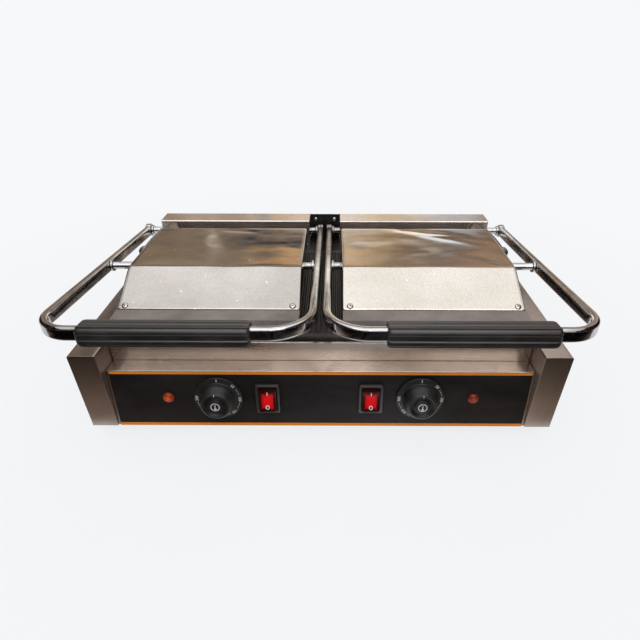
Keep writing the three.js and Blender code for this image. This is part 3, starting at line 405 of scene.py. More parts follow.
# Bright chrome on bent steel bar: mirror-like, with rubbed streaks along it and tiny pits.
# Where the two inner arms run side by side it is worn dull and grey, from the hinges forward
def chromePlate(name):
    material, add = newMaterial(name)
    haze = add("TexNoise", (objectPoint(add), 60, 4, 0.6))
    pits = add("TexNoise", (objectPoint(add), 900, 2, 0.5))
    scuffs = add("TexNoise", (objectPoint(add, (520, 190, 520)), 1, 4, 0.7))
    rubbed = add("TexNoise", (objectPoint(add, (160, 30, 160)), 1, 4, 0.6))
    where = add("SeparateXYZ", [objectPoint(add)]).node.outputs
    middle = add("MapRange", (add("Math", [where["X"]], operation="ABSOLUTE"), 0.014, 0.024, 1, 0))
    behind = add("MapRange", (where["Y"], -0.02, 0.03, 0, 1))
    worn = add("Math", (middle, behind), operation="MULTIPLY")
    plated = add("ValToRGB", [haze], [(0.3, "#9fa1a3"), (0.7, "#c3c5c7")])
    dull = add("ValToRGB", [scuffs], [(0.35, "#5c5a58"), (0.65, "#b8b5b2")])
    streaks = add("MapRange", (rubbed, 0.3, 0.7, 0.04, 0.18))
    return finished(material, {
        "Base Color": add("Mix", (worn, plated, dull), data_type="RGBA"), "Metallic": 1,
        "Roughness": add("Math", (worn, 0.26, streaks), operation="MULTIPLY_ADD"),
        "Normal": add("Bump", {"Height": pits, "Distance": 0.000005, "Strength": 0.2})})


# Cast iron, sand cast and baked with oil: a fine pebbled skin with a dull sheen.
# The sand's grain is 0.3 mm, drawn 1.4 mm apart so that it shows.
def seasonedIron(name, stops, roughness):
    material, add = newMaterial(name)
    sand = add("TexNoise", (objectPoint(add), 700, 4, 0.7))
    stain = add("TexNoise", (objectPoint(add), 22, 5, 0.6))
    tone = add("ValToRGB", [stain], stops)
    grit = add("ValToRGB", [sand], [(0.3, "#3f3b3a"), (0.7, "#a59d99")])
    return finished(material, {
        "Base Color": add("Mix", (0.5, tone, grit), data_type="RGBA", blend_type="OVERLAY"),
        "Roughness": add("MapRange", (stain, 0.3, 0.7, roughness - 0.08, roughness + 0.1)), "Metallic": 0.35,
        "Normal": add("Bump", {"Height": sand, "Distance": 0.00022, "Strength": 0.8})})


# Phenolic moulding: even black with a slight orange peel and dust in the pores
def mouldedPlastic(name, dark, light, roughness, gloss=0.4):
    material, add = newMaterial(name)
    peel = add("TexNoise", (objectPoint(add), 420, 3, 0.5))
    dust = add("TexNoise", (objectPoint(add), 35, 6, 0.65))
    return finished(material, {
        "Base Color": add("ValToRGB", [dust], [(0.35, dark), (0.75, light)]),
        "Roughness": add("MapRange", (dust, 0.3, 0.7, roughness - 0.05, roughness + 0.08)),
        "IOR": 1.5, "Specular IOR Level": gloss,
        "Normal": add("Bump", {"Height": peel, "Distance": 0.00003, "Strength": 0.6})})


# Screen-printed polyester overlay: flat colour under a faint embossed grain
def printedFilm(name, code, roughness):
    material, add = newMaterial(name)
    grain = add("TexNoise", (objectPoint(add), 1500, 2, 0.5))
    wipe = add("TexNoise", (objectPoint(add, (4, 14, 14)), 2.5, 4, 0.6))
    dusty = add("MapRange", (wipe, 0.3, 0.7, 0.0, 0.05))
    return finished(material, {
        "Base Color": add("Mix", (dusty, colour(code), colour("#8a7f78")), data_type="RGBA"),
        "Specular IOR Level": 0.16,
        "Roughness": add("MapRange", (wipe, 0.3, 0.7, roughness - 0.06, roughness + 0.1)),
        "Normal": add("Bump", {"Height": grain, "Distance": 0.00001, "Strength": 0.5})})


# Dyed polycarbonate over a small neon lamp: brightest where the lamp sits, mottled by the facets
# moulded inside. The facets are 1 mm apart. A square lens glows to its margins in X and Z.
def dyedLens(name, tones, centre, reach, square=False):
    material, add = newMaterial(name)
    offset = add("VectorMath", (add("TexCoord").node.outputs["Object"], centre), operation="SUBTRACT")
    share = add("VectorMath", (offset, reach), operation="DIVIDE")
    if square:
        size = add("SeparateXYZ", [add("VectorMath", [share], operation="ABSOLUTE")]).node.outputs
        distance = add("Math", (size["X"], size["Z"]), operation="MAXIMUM")
    else:
        distance = add("VectorMath", [share], operation="LENGTH")
    facets = add("TexNoise", (objectPoint(add), 700, 2, 0.5))
    mottled = add("Math", (facets, 0.5, distance), operation="MULTIPLY_ADD")
    tone = add("ValToRGB", [mottled], tones["stops"])
    return finished(material, {
        "Base Color": tone, "Emission Color": tone, "Emission Strength": tones["glow"], "Roughness": 0.2,
        "IOR": 1.58, "Specular IOR Level": 0.3})


# The lamps are amber, and the right one has aged. The rockers are red
lensTones = {
    "left": {"stops": [(0.3, "#d9601f"), (0.85, "#bd4512"), (1.0, "#7a2c0a")], "glow": 0.2},
    "right": {"stops": [(0.3, "#c9603f"), (0.75, "#a84024"), (1.0, "#6a2414")], "glow": 0.08},
    "rocker": {"stops": [(0.62, "#cf040b"), (0.86, "#a60208"), (0.98, "#560206"), (1.0, "#2a0103")],
               "glow": 0.2},
}


# Zinc or oil on steel: small cloudy crystals in grey
def platedSteel(name, dark, light, roughness):
    material, add = newMaterial(name)
    crystals = add("TexNoise", (objectPoint(add), 90, 5, 0.6))
    return finished(material, {
        "Base Color": add("ValToRGB", [crystals], [(0.3, dark), (0.7, light)]), "Metallic": 1,
        "Roughness": add("MapRange", (crystals, 0.3, 0.7, roughness - 0.08, roughness + 0.1)),
        "Normal": add("Bump", {"Height": crystals, "Distance": 0.00004, "Strength": 0.4})})


# Opaque screen ink, slightly uneven
def plainInk(name, code):
    material, add = newMaterial(name)
    flow = add("TexNoise", (objectPoint(add), 800, 3, 0.6))
    uneven = add("MapRange", (flow, 0.3, 0.7, 0, 1))
    thin = (*(0.75 * c for c in colour(code)[:3]), 1)
    return finished(material, {
        "Base Color": add("Mix", (uneven, thin, colour(code)), data_type="RGBA"), "Roughness": 0.5})


panelSteel = brushedSteel("brushedStainlessPanel", 0, [(0.3, "#bfb4ac"), (0.7, "#d3cac3")],
                          0.19, 0.06, 0.0003)
sideSteel = brushedSteel("brushedStainlessSide", 2, [(0.3, "#a3978f"), (0.7, "#bfb4ac")], 0.3, 0.08, 0.0003)
topSteel = brushedSteel("brushedStainlessDeck", 0, [(0.3, "#c0b7af"), (0.7, "#dbd4ce")], 0.17, 0.05, 0.0005)
coverSteel = {
    "left": milledSteel("milledStainlessGrey", [(0.35, "#a8a39e"), (0.55, "#b4afaa"), (0.72, "#bfbab5")],
                        0.085, 0.0005),
    "right": milledSteel("milledStainlessWarm", [(0.35, "#c6c0b6"), (0.55, "#cfc9c0"), (0.72, "#d7d2ca")],
                         0.13, 0.0009),
}
chrome = chromePlate("chromePlatedBar")
# One seasoned iron in two tones: the upper one is painted lighter for the light on the castings' front, the
# lower one is painted darker for the shade in the gap between the covers
ironUpperLit = seasonedIron("seasonedIronUpperPaintedLight", [(0.3, "#8d8684"), (0.7, "#b5adaa")], 0.5)
ironLowerShaded = seasonedIron("seasonedIronLowerPaintedShade", [(0.3, "#3a3736"), (0.7, "#6c6866")], 0.38)
gripPlastic = mouldedPlastic("phenolicGrip", "#181615", "#2f2b2a", 0.34, 0.75)
knobPlastic = mouldedPlastic("phenolicKnob", "#131212", "#242323", 0.44, 0.5)
bezelPlastic = mouldedPlastic("nylonBezel", "#1a1919", "#312f2f", 0.34, 0.9)
fasciaFilm = printedFilm("blackOverlayFilm", "#151313", 0.34)
stripeFilm = printedFilm("orangeOverlayStripe", "#e0831c", 0.35)
footRubber = mouldedPlastic("mouldedRubber", "#131313", "#242424", 0.75)
zincSteel = platedSteel("zincPlatedSteel", "#7f8183", "#b0b1b2", 0.36)
hoseSteel = platedSteel("galvanisedHose", "#4a433e", "#8f857c", 0.33)
springWire = platedSteel("oiledSpringSteel", "#2d2d30", "#55565a", 0.35)
sheathSteel = platedSteel("heatedElementSheath", "#3f342e", "#776a60", 0.5)
ceramic = mouldedPlastic("unglazedCeramic", "#cfc8bb", "#ece6da", 0.65)
whiteInk = plainInk("whiteDialInk", "#e9e6e2")
# a flat black that paints the shade in the notch behind the inner arms
shadeBlack = mouldedPlastic("paintedShadeBlack", "#0e0d0d", "#1d1b1b", 0.4, 0.4)
screwSteel = platedSteel("nickelPlatedScrew", "#b0aba4", "#dad6d0", 0.26)
print("materials made")

# What the names of the CAD nodes start with, for each finish
cadFinishes = {
    sideSteel: ("side_box",),
    panelSteel: ("front_panel", "grease_tray", "back_panel"),
    topSteel: ("rear_deck", "rear_housing"),
    coverSteel["left"]: ("upper_cover",),
    zincSteel: ("base_pan", "heat_shield", "plate_rail", "hinge_bearing", "conduit", "thermostat"),
    ironLowerShaded: ("lower_plate",),
    ironUpperLit: ("upper_casting",),
    fasciaFilm: ("control_fascia",),
    footRubber: ("foot",),
    bezelPlastic: ("power_inlet", "switch_housing", "rocker", "lamp"),
    ceramic: ("terminal_block",),
    springWire: ("torsion_spring",),
    sheathSteel: ("lower_element", "upper_element"),
    chrome: ("handle_bar", "hinge_shaft", "pivot_rod"),
    gripPlastic: ("grip",),
    knobPlastic: ("knob",),
}
# Rounded edges of the CAD solids that show: width in millimetres and number of segments
cadEdges = {("side_box", "front_panel", "grease_tray", "rear_deck", "rear_housing"): (0.5, 2),
            ("lower_plate", "upper_casting"): (0.3, 1)}
for name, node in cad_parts.items():
    finish = next(finish for finish, starts in cadFinishes.items() if name.startswith(starts))
    node.data.materials.clear()
    node.data.materials.append(finish)
    for starts, (width, segments) in cadEdges.items():
        if name.startswith(starts):
            node.modifiers.new("weld", "WELD").merge_threshold = 0.00002
            bevel = node.modifiers.new("edges", "BEVEL")
            bevel.width, bevel.segments = width / 1000, segments
            bevel.limit_method, bevel.angle_limit = "ANGLE", math.radians(30)
            bevel.use_clamp_overlap = bevel.harden_normals = True

# Handles

handle = {
    "slope": math.atan(0.0835), "hingeY": 314, "hingeZ": 138, "frontY": -18, "outerX": 287.2, "innerX": 2.7,
    "thickness": 8.6, "height": 15.4, "edge": 3.4, "outerBend": 36, "innerBend": 44, "bendSteps": 20,
    "eyeRadius": 9.8, "eyeEdge": 1.6, "eyeSegments": 40,
}
forward = Vector((0, -math.cos(handle["slope"]), math.sin(handle["slope"])))
planeUp = Vector((0, math.sin(handle["slope"]), math.cos(handle["slope"])))
handleReach = (handle["hingeY"] - handle["frontY"]) / math.cos(handle["slope"]) / 1000
hingeCentre = place(0, handle["hingeY"], handle["hingeZ"])


# A point of the handle's tilted plane, x in millimetres and along as a length in metres
def onHandle(x, along):
    return hingeCentre + Vector((x / 1000, 0, 0)) + forward * along


def makeHandle(side, sign):
    half, radius = handle["thickness"] / 2, handle["eyeRadius"]
    outer, inner = sign * (handle["outerX"] - half), sign * (handle["innerX"] + half)
    corners = [onHandle(x, along) for x, along in ((inner, 0), (inner, handleReach), (outer, handleReach),
                                                   (outer, 0))]
    bends = handle["innerBend"] / 1000, handle["outerBend"] / 1000
    path = filletedPath(corners, bends, handle["bendSteps"])
    section = roundedSection(handle["thickness"] / 1000, handle["height"] / 1000, handle["edge"] / 1000)
    said = f"{side}_handle", "chrome"
    bar = loft(sweep(path, section, planeUp))
    newPiece(f"handleBar_{side}", bar, chrome, 60, *said, f"handle_bar_{side}")
    for end, x, nodes in (("inner", inner, [f"handle_bar_{side}"]), ("outer", outer, [])):
        eye = turned([(0, -half), (radius, -half), (radius, half), (0, half)], onHandle(x, 0), rightward,
                     handle["eyeSegments"], handle["eyeEdge"])
        newPiece(f"handleEye_{side}_{end}", eye, chrome, 50, *said, *nodes)


grip = {
    "centreX": 150, "length": 167, "depth": 24, "height": 22.5, "corner": 6, "ridges": 12, "groove": 1.1,
    "grooveShare": 0.17, "endTaper": 5, "endShare": 0.8, "capShare": 0.776, "endSteps": 5,
    "pointsPerRidge": 14, "cornerSteps": 24,
}


# A rounded rectangle with grooves between broad ridges that run along the grip
def gripSection(share):
    fine = roundedSection(grip["depth"], grip["height"], grip["corner"], grip["cornerSteps"])
    lengths = [0]
    loop = fine + [fine[0]]
    for a, b in zip(loop, loop[1:]):
        lengths.append(lengths[-1] + math.dist(a, b))
    count = grip["ridges"] * grip["pointsPerRidge"]
    points, k = [], 0
    for i in range(count):
        target = lengths[-1] * i / count
        while lengths[k + 1] < target:
            k += 1
        t = (target - lengths[k]) / max(lengths[k + 1] - lengths[k], 1e-9)
        u, v = (first + (second - first) * t for first, second in zip(loop[k], loop[k + 1]))
        phase = (i / grip["pointsPerRidge"]) % 1
        valley = max(0.0, 1 - abs(phase - 0.5) / grip["grooveShare"])
        inward = 1 - grip["groove"] * valley * valley * (3 - 2 * valley) / math.hypot(u, v)
        points.append((u * inward * share / 1000, v * inward * share / 1000))
    return points


def makeGrip(side, sign):
    half, low = grip["length"] / 2, grip["endShare"]
    stations = [(-half, grip["capShare"])]
    for k in range(grip["endSteps"] + 1):
        turn = math.pi / 2 * k / grip["endSteps"]
        stations.append((grip["endTaper"] * (1 - math.cos(turn)) - half, low + (1 - low) * math.sin(turn)))
    stations += [(-x, share) for x, share in reversed(stations)]
    rings = []
    for x, share in stations:
        centre = onHandle(sign * grip["centreX"] + x, handleReach)
        rings.append([centre - forward * u + planeUp * v for u, v in gripSection(share)])
    newPiece(f"ribbedGrip_{side}", loft(rings), gripPlastic, 50, f"{side}_handle", "black_plastic",
             f"grip_{side}")


rods = {"radii": {"hinge_shaft": 5, "pivot_rod": 4.8}, "collarRadius": 7.6, "collarWidth": 3, "edge": 0.5,
        "segments": 40}


# A rod across the handle with a collar at each end
def makeRod(side, kind):
    node = f"{kind}_{side}"
    start, end = (corner.x * 1000 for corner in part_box(node))
    r, c, w = rods["radii"][kind], rods["collarRadius"], rods["collarWidth"]
    profile = [(0, start), (c, start), (c, start + w), (r, start + w), (r, end - w), (c, end - w), (c, end),
               (0, end)]
    centre = Vector((0, *boxCentre(node).yz))
    newPiece(f"{node}_turned", turned(profile, centre, rightward, rods["segments"], rods["edge"]), chrome, 40,
             f"{side}_handle", "chrome", node)


for side, sign in sides.items():
    makeHandle(side, sign)
    makeGrip(side, sign)
    for kind in rods["radii"]:
        makeRod(side, kind)
print("handles made")

# Covers over the upper plates

cover = {
    "frontY": 66.5, "foldY": 120.7, "backY": 246, "bottom": 140.3, "top": 169, "innerX": 25, "outerX": 238,
    "fold": 5, "rearFold": 3, "foldSteps": 6, "step": 3, "wall": 1.0, "sideEdge": 1.4, "columns": 64,
    "dent": 0.35, "buckleX": 46, "buckleY": 38, "noiseX": 7, "noiseZ": 3, "fadeX": 12, "fadeY": 9,
    "knockFade": 1.5,
    # each knock: x from the inner edge and y behind the front, long and short reach, turn in degrees, depth
    "knocks": {"left": ((100, 236, 26, 7, 8, 0.5), (60, 200, 22, 12, 20, 0.25)),
               "right": ((120, 232, 34, 6, -14, 1.5), (140, 212, 44, 9, -26, 0.8),
                         (196, 140, 26, 8, -30, 0.9), (92, 240, 12, 5, 0, 0.9),
                         (186, 96, 30, 7, 24, 0.6), (40, 200, 34, 14, 4, 0.3))},
}


# How far the sheet is knocked in at a point, in millimetres
def knockedIn(side, x, y):
    deep = 0
    for cx, cy, long, short, turn, depth in cover["knocks"][side]:
        c, s = math.cos(math.radians(turn)), math.sin(math.radians(turn))
        along, aside = (x - cx) * c + (y - cy) * s, (y - cy) * c - (x - cx) * s
        deep += depth * math.exp(-(along / long) ** 2 - (aside / short) ** 2)
    return deep


# Front edge, slope, fold, top, rear fold and back, as (y, z) pairs in millimetres
def coverFolds(inset):
    front, top, back = cover["frontY"] + inset, cover["top"] - inset, cover["backY"] - inset
    fold, low = cover["foldY"] + inset * 0.5, cover["bottom"]
    corners = (front, low), (fold, top), (back, top), (back, low)
    dense = [corners[0]]
    for k, radius in ((1, cover["fold"]), (2, cover["rearFold"])):
        before, corner, after = (Vector(pair) for pair in corners[k - 1:k + 2])
        curve = roundCorner(corner + (before - corner).normalized() * radius, corner,
                            corner + (after - corner).normalized() * radius, cover["foldSteps"])
        dense += [tuple(point) for point in curve]
    return dense + [corners[3]]


# The same line cut into even steps, as many for any inset
def coverProfile(inset):
    nominal, dense = coverFolds(0), coverFolds(inset)
    points = []
    for k, ((y, z), (nextY, nextZ)) in enumerate(zip(dense, dense[1:])):
        count = max(1, round(math.dist(nominal[k], nominal[k + 1]) / cover["step"]))
        points += [(y + (nextY - y) * i / count, z + (nextZ - z) * i / count) for i in range(count)]
    return points + [dense[-1]]


def makeCover(side, sign):
    edge = cover["sideEdge"]
    span = cover["outerX"] - cover["innerX"]
    stations = edgeStations(0, edge)
    stations += [(edge + (span - 2 * edge) * i / cover["columns"], 0) for i in range(1, cover["columns"])]
    stations += [(span - x, inset) for x, inset in reversed(stations[:3])]
    vertices = []
    count = len(coverProfile(0))
    for x, inset in stations:
        for k, (y, z) in enumerate(coverProfile(inset)):
            across, along = x / span, k / (count - 1)
            # the buckling and the knocks fade towards the edges
            inside = (min(1, cover["fadeX"] * across * (1 - across))
                      * min(1, cover["fadeY"] * along * (1 - along)))
            buckle = noise.noise(Vector((x / cover["buckleX"] + cover["noiseX"] * sign, y / cover["buckleY"],
                                         cover["noiseZ"] * sign)))
            sag = (buckle * cover["dent"] * inside
                   - knockedIn(side, x, y) * min(1, inside * cover["knockFade"]))
            pushed = sag if y < cover["foldY"] else 0  # the slope moves in Y too
            vertices.append(place(sign * (cover["innerX"] + x), y + pushed, z + sag))
    last = len(vertices) - count
    faces = [(r + k, r + k + 1, r + count + k + 1, r + count + k)
             for r in range(0, last, count) for k in range(count - 1)]
    faces += [tuple(range(count)), tuple(range(last, last + count))]
    piece = newPiece(f"foldedCover_{side}", (vertices, faces), coverSteel[side], 50, f"{side}_plate", "cover",
                     f"upper_cover_{side}")
    middle = boxCentre(f"upper_casting_{side}")
    if sum(f.normal.dot(f.center - middle) for f in piece.data.polygons) < 0:
        piece.data.flip_normals()
    wall = piece.modifiers.new("wall", "SOLIDIFY")
    wall.thickness, wall.offset = cover["wall"] / 1000, -1


for side, sign in sides.items():
    makeCover(side, sign)
print("covers made")

# A black sheet lies on the deck behind the inner arms and turns up against the housing's back: painted shade
# for the dark notch

liner = {
    "wide": 44, "narrow": 23.4, "thickness": 0.6, "gap": 0.15, "frontInset": 0.3, "mouthInset": 0.4,
    "backInset": 1.4, "topInset": 0.6, "screwX": 15, "screwDown": 8.5, "screwRadius": 3.4, "screwHeight": 1.8,
}


# Returns where its screws go
def makeLiner():
    deck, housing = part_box("rear_deck"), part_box("rear_housing")
    size = {key: value / 1000 for key, value in liner.items()}
    wide, narrow, wall = size["wide"], size["narrow"], size["thickness"]
    front, mouth = deck[0].y + size["frontInset"], housing[0].y - size["mouthInset"]
    back = housing[1].y - size["backInset"]
    low, top = deck[1].z + size["gap"], housing[1].z - size["topInset"]
    stations = ((wide, front, low + wall), (wide, mouth, low + wall), (narrow, mouth, low + wall),
                (narrow, back - wall, low + wall), (narrow, back - wall, top), (narrow, back, top))
    rings = [[Vector(p) for p in ((-half, y, low), (half, y, low), (half, y, high), (-half, y, high))]
             for half, y, high in stations]
    # the black sheet stands for the shade in the notch
    newPiece("paintedShadeLiner", loft(rings), shadeBlack, 35, "body", "stainless")
    return [(Vector((x, back - wall, top - size["screwDown"])), Vector((0, -1, 0)))
            for x in (-size["screwX"], size["screwX"])]


linerScrewPlaces = makeLiner()
print("liner made")

# The control panel leans back. Its points are given across, up its slope and out of it, in millimetres

panel = {"footY": 1.5, "footZ": 20, "ledgeY": 10.7, "ledgeZ": 94.5, "face": 1.1, "controlHeight": 41}
panelLean = math.atan2(panel["ledgeY"] - panel["footY"], panel["ledgeZ"] - panel["footZ"])
panelUp = Vector((0, math.sin(panelLean), math.cos(panelLean)))
panelOut = Vector((0, -math.cos(panelLean), math.sin(panelLean)))


def onPanel(x, up, out):
    return place(x, panel["footY"], panel["footZ"]) + panelUp * (up / 1000) + panelOut * (out / 1000)


stripes = {"bottom": (0.3, 4.3), "top": (71.5, 74.8), "reach": 236.4, "ink": 0.06}


def makeStripes():
    face = panel["face"]
    for name in ("bottom", "top"):
        low, high = stripes[name]
        corners = ((low, face), (high, face), (high, face + stripes["ink"]), (low, face + stripes["ink"]))
        rings = [[onPanel(x, *corner) for corner in corners] for x in (-stripes["reach"], stripes["reach"])]
        newPiece(f"stripe_{name}", loft(rings), stripeFilm, 35, "body", "fascia")


makeStripes()
print("stripes made")

# The body behind the panel, with its nut, is given as (radius, height) pairs
lens = {"radius": 6.5, "seat": 1.4, "shoulder": 2.3, "rise": 3.4, "domeSteps": 9, "domePower": 0.9,
        "segments": 48, "bodyEdge": 0.4,
        "body": ((0, -24), (5.4, -24), (5.4, -5.5), (9, -5.5), (9, -1.5), (5.4, -1.5), (5.4, 1.4), (0, 1.4))}


# A dome with a short straight rim, and the lamp's body
def makeLamp(side):
    node, x = f"lamp_{side}", boxCentre(f"lamp_{side}").x * 1000
    centre = onPanel(x, panel["controlHeight"], 0)
    radius, shoulder, rise, steps = lens["radius"], lens["shoulder"], lens["rise"], lens["domeSteps"]
    dome = [(0, lens["seat"]), (radius, lens["seat"]), (radius, shoulder)]
    for k in range(1, steps):
        turn = math.pi / 2 * k / steps
        dome.append((radius * math.cos(turn) ** lens["domePower"], shoulder + rise * math.sin(turn)))
    dome.append((0, shoulder + rise))
    glow = dyedLens(f"pilotLens_{side}", lensTones[side], onPanel(x, panel["controlHeight"], shoulder),
                    [radius / 1000] * 3)
    newPiece(f"pilotLens_{side}", turned(dome, centre, panelOut, lens["segments"]), glow, 50,
             "body", "amber_lens", node)
    newPiece(f"pilotBody_{side}", turned(lens["body"], centre, panelOut, lens["segments"], lens["bodyEdge"]),
             bezelPlastic, 40, "body", "black_plastic", node)


for side in sides:
    makeLamp(side)
print("pilot lamps made")

# The knob's profile runs from the bottom of its socket round the skirt, up the cap and into the dish.
# The skirt and the cap's top are 4.2 and 20.5 above the panel, and ink lies just clear of them
knob = {
    "profile": ((0, 14.5), (3.7, 14.5), (3.7, 2), (27.5, 2), (27.5, 3.8), (27, 4.2), (21.2, 4.7), (20.6, 5.4),
                (20.2, 10.2), (18.6, 15), (17, 18.7), (14.6, 20.5), (12.8, 20), (11.2, 17.5), (9, 17.5),
                (8.7, 20.1), (7.7, 20.6), (0, 20.7)),
    "round": 1.1, "roundSteps": 4, "segments": 96, "ink": 0.08, "skirtInk": 4.52, "hubInk": 20.67,
    "rimInk": 20.52, "figures": (50, 100, 150, 200, 250, 300), "figureRadius": 24.3, "figureHeight": 3.312,
    "firstTurn": 46, "figureStep": 45, "dotsBetween": 4, "dotRadius": 0.45, "dotShare": 0.36,
    # a bar of ink is its width and height, a ring its radius and width. Where there are three numbers,
    # the first is how far up the middle lies
    "tick": (0.8, 3.4), "rimMark": (14.8, 0.9, 2.0), "hubRing": (4.7, 0.75), "hubBar": (0.2, 0.8, 5.2),
    "hubDot": (-2.4, 0.9, 0.9),
}
dialDots = dotTree()


# turn is in degrees, clockwise from the top
def aroundKnob(x, radius, turn, out):
    angle = math.radians(90 - turn)
    return onPanel(x + radius * math.cos(angle), panel["controlHeight"] + radius * math.sin(angle), out)


# Flat figures on a surface: origin in their middle, right and up along the surface
def figures(text, height, origin, right, up):
    curve = bpy.data.curves.new(text, "FONT")
    curve.body = text
    curve.size = height / 0.72 / 1000  # the font's figures are 0.72 of its size
    curve.align_x = curve.align_y = "CENTER"
    curve.extrude = knob["ink"] / 2000
    curve.resolution_u = 3
    holder = bpy.data.objects.new(text, curve)
    scene.collection.objects.link(holder)
    data = plainMesh(holder)
    turn = Matrix((right, up, right.cross(up))).transposed().to_4x4()
    data.transform(Matrix.Translation(origin) @ turn)
    return [v.co.copy() for v in data.vertices], [tuple(p.vertices) for p in data.polygons]


# A flat ring of ink: rings of four points, closed all the way round
def inkRing(centre, up, radius, width, squash=1.0, segments=40):
    out = rightward.cross(up)
    section = [(radius + share * width, lift) for share, lift in ((-0.5, 0), (0.5, 0), (0.5, knob["ink"]),
                                                                  (-0.5, knob["ink"]))]
    rings = []
    for i in range(segments):
        turn = 2 * math.pi * i / segments
        ray = rightward * math.cos(turn) + up * math.sin(turn) * squash
        rings.append([centre + ray * (r / 1000) + out * (lift / 1000) for r, lift in section])
    return loft(rings + rings[:1], False)


def inkBar(centre, up, width, height):
    out = rightward.cross(up)
    corners = [(a * width / 2000, b * height / 2000) for a, b in ((-1, -1), (1, -1), (1, 1), (-1, 1))]
    return loft([[centre + rightward * a + up * b + out * lift for a, b in corners]
                 for lift in (0, knob["ink"] / 1000)])


# The cap with its sunk dish, a skirt with figures and dots, and a small mark on the hub
def makeKnob(side):
    x = boxCentre(f"knob_{side}").x * 1000
    said = f"{side}_knob", "black_plastic", f"knob_{side}"
    cap = turned(knob["profile"], onPanel(x, panel["controlHeight"], 0), panelOut, knob["segments"],
                 knob["round"], knob["roundSteps"])
    newPiece(f"dialKnob_{side}", cap, knobPlastic, 40, *said)
    onSkirt = partial(aroundKnob, x, knob["figureRadius"], out=knob["skirtInk"])
    ink = [inkBar(onSkirt(0), panelUp, *knob["tick"])]
    for i, figure in enumerate(knob["figures"]):
        turn = knob["firstTurn"] + i * knob["figureStep"]
        angle = math.radians(turn)
        up = panelUp * math.cos(angle) + rightward * math.sin(angle)
        ink.append(figures(str(figure), knob["figureHeight"], onSkirt(turn), up.cross(panelOut), up))
    middle = onPanel(x, panel["controlHeight"], knob["hubInk"])
    barUp, *bar = knob["hubBar"]
    dotUp, *dot = knob["hubDot"]
    markUp, *mark = knob["rimMark"]
    ink += [inkRing(middle, panelUp, *knob["hubRing"]),
            inkBar(middle + panelUp * (barUp / 1000), panelUp, *bar),
            inkRing(middle + panelUp * (dotUp / 1000), panelUp, *dot, segments=20),
            inkBar(aroundKnob(x, markUp, 0, knob["rimInk"]), panelUp, *mark)]
    newPiece(f"dialFigures_{side}", joined(ink), whiteInk, 35, *said)
    # the dots fill the middle of each gap between two figures
    spots = []
    for i in range(len(knob["figures"]) - 1):
        for k in range(knob["dotsBetween"]):
            share = 0.5 + knob["dotShare"] * (k / (knob["dotsBetween"] - 1) - 0.5)
            spots.append(onSkirt(knob["firstTurn"] + (i + share) * knob["figureStep"]))
    dots = grown(spots, [], [], dialDots, {
        "Dot Radius": knob["dotRadius"] / 1000, "Thickness": knob["ink"] / 1000,
        "Lean": math.pi / 2 - panelLean, "Finish": whiteInk})
    addPiece(f"dialDots_{side}", dots, 35, *said)


for side in sides:
    makeKnob(side)
print("dial knobs made")

# Rings from the back of the switch body, over the lip and down into the pocket. Each is told by how much
# wider and higher than its size it is, its corner and how far out it lies
bezel = {
    "outside": (28, 38), "over": ((-5.2, 0.5, -24), (-4.2, 0.8, -23.4), (-4.2, 0.8, 1.4), (-0.5, 2, 1.4),
                                  (0, 2.4, 1.7), (-0.7, 2.1, 5), (-1.4, 1.8, 5.75), (-2.4, 1.5, 6),
                                  (-6.2, 1.2, 5.85)),
    "pocket": (20.1, 30.8), "into": ((0.5, 1, 5.3), (0, 0.8, 4.5), (0, 0.8, -13)), "cornerSteps": 4,
}


def makeBezel(side):
    node, x = f"switch_housing_{side}", boxCentre(f"switch_housing_{side}").x * 1000
    rings = []
    for (width, height), stations in ((bezel["outside"], bezel["over"]), (bezel["pocket"], bezel["into"])):
        for more, corner, out in stations:
            section = roundedSection(width + more, height + more, corner, bezel["cornerSteps"])
            rings.append([onPanel(x + u, panel["controlHeight"] + v, out) for u, v in section])
    newPiece(f"switchBezel_{side}", loft(rings), bezelPlastic, 35, "body", "black_plastic", node)


rocker = {
    "width": 19.5, "height": 29, "keel": 7, "rise": 5, "dish": 1.6, "tilt": 7, "pivotOut": 5.0, "edge": 0.9,
    "steps": 16, "corners": {0: 0.8, 1: 0.15, 15: 0.15, 16: 0.8}, "glowX": 9.8, "glowZ": 12.5, "glowUp": -0.6,
    "barUp": 8.4, "bar": (0.9, 4.4), "ringUp": -8.6, "ring": (1.9, 0.8, 1.1, 28), "inkLift": 0.02,
}
rockerTilt = math.radians(rocker["tilt"])


# A point of the rocker, which is turned about its pivot so that its upper end is pressed in
def onRocker(x, across, up, out):
    c, s = math.cos(rockerTilt), math.sin(rockerTilt)
    return onPanel(x + across, panel["controlHeight"] + up * c + out * s,
                   rocker["pivotOut"] + out * c - up * s)


def rockerFace(up):
    return rocker["rise"] - rocker["dish"] * (1 - (2 * up / rocker["height"]) ** 2)


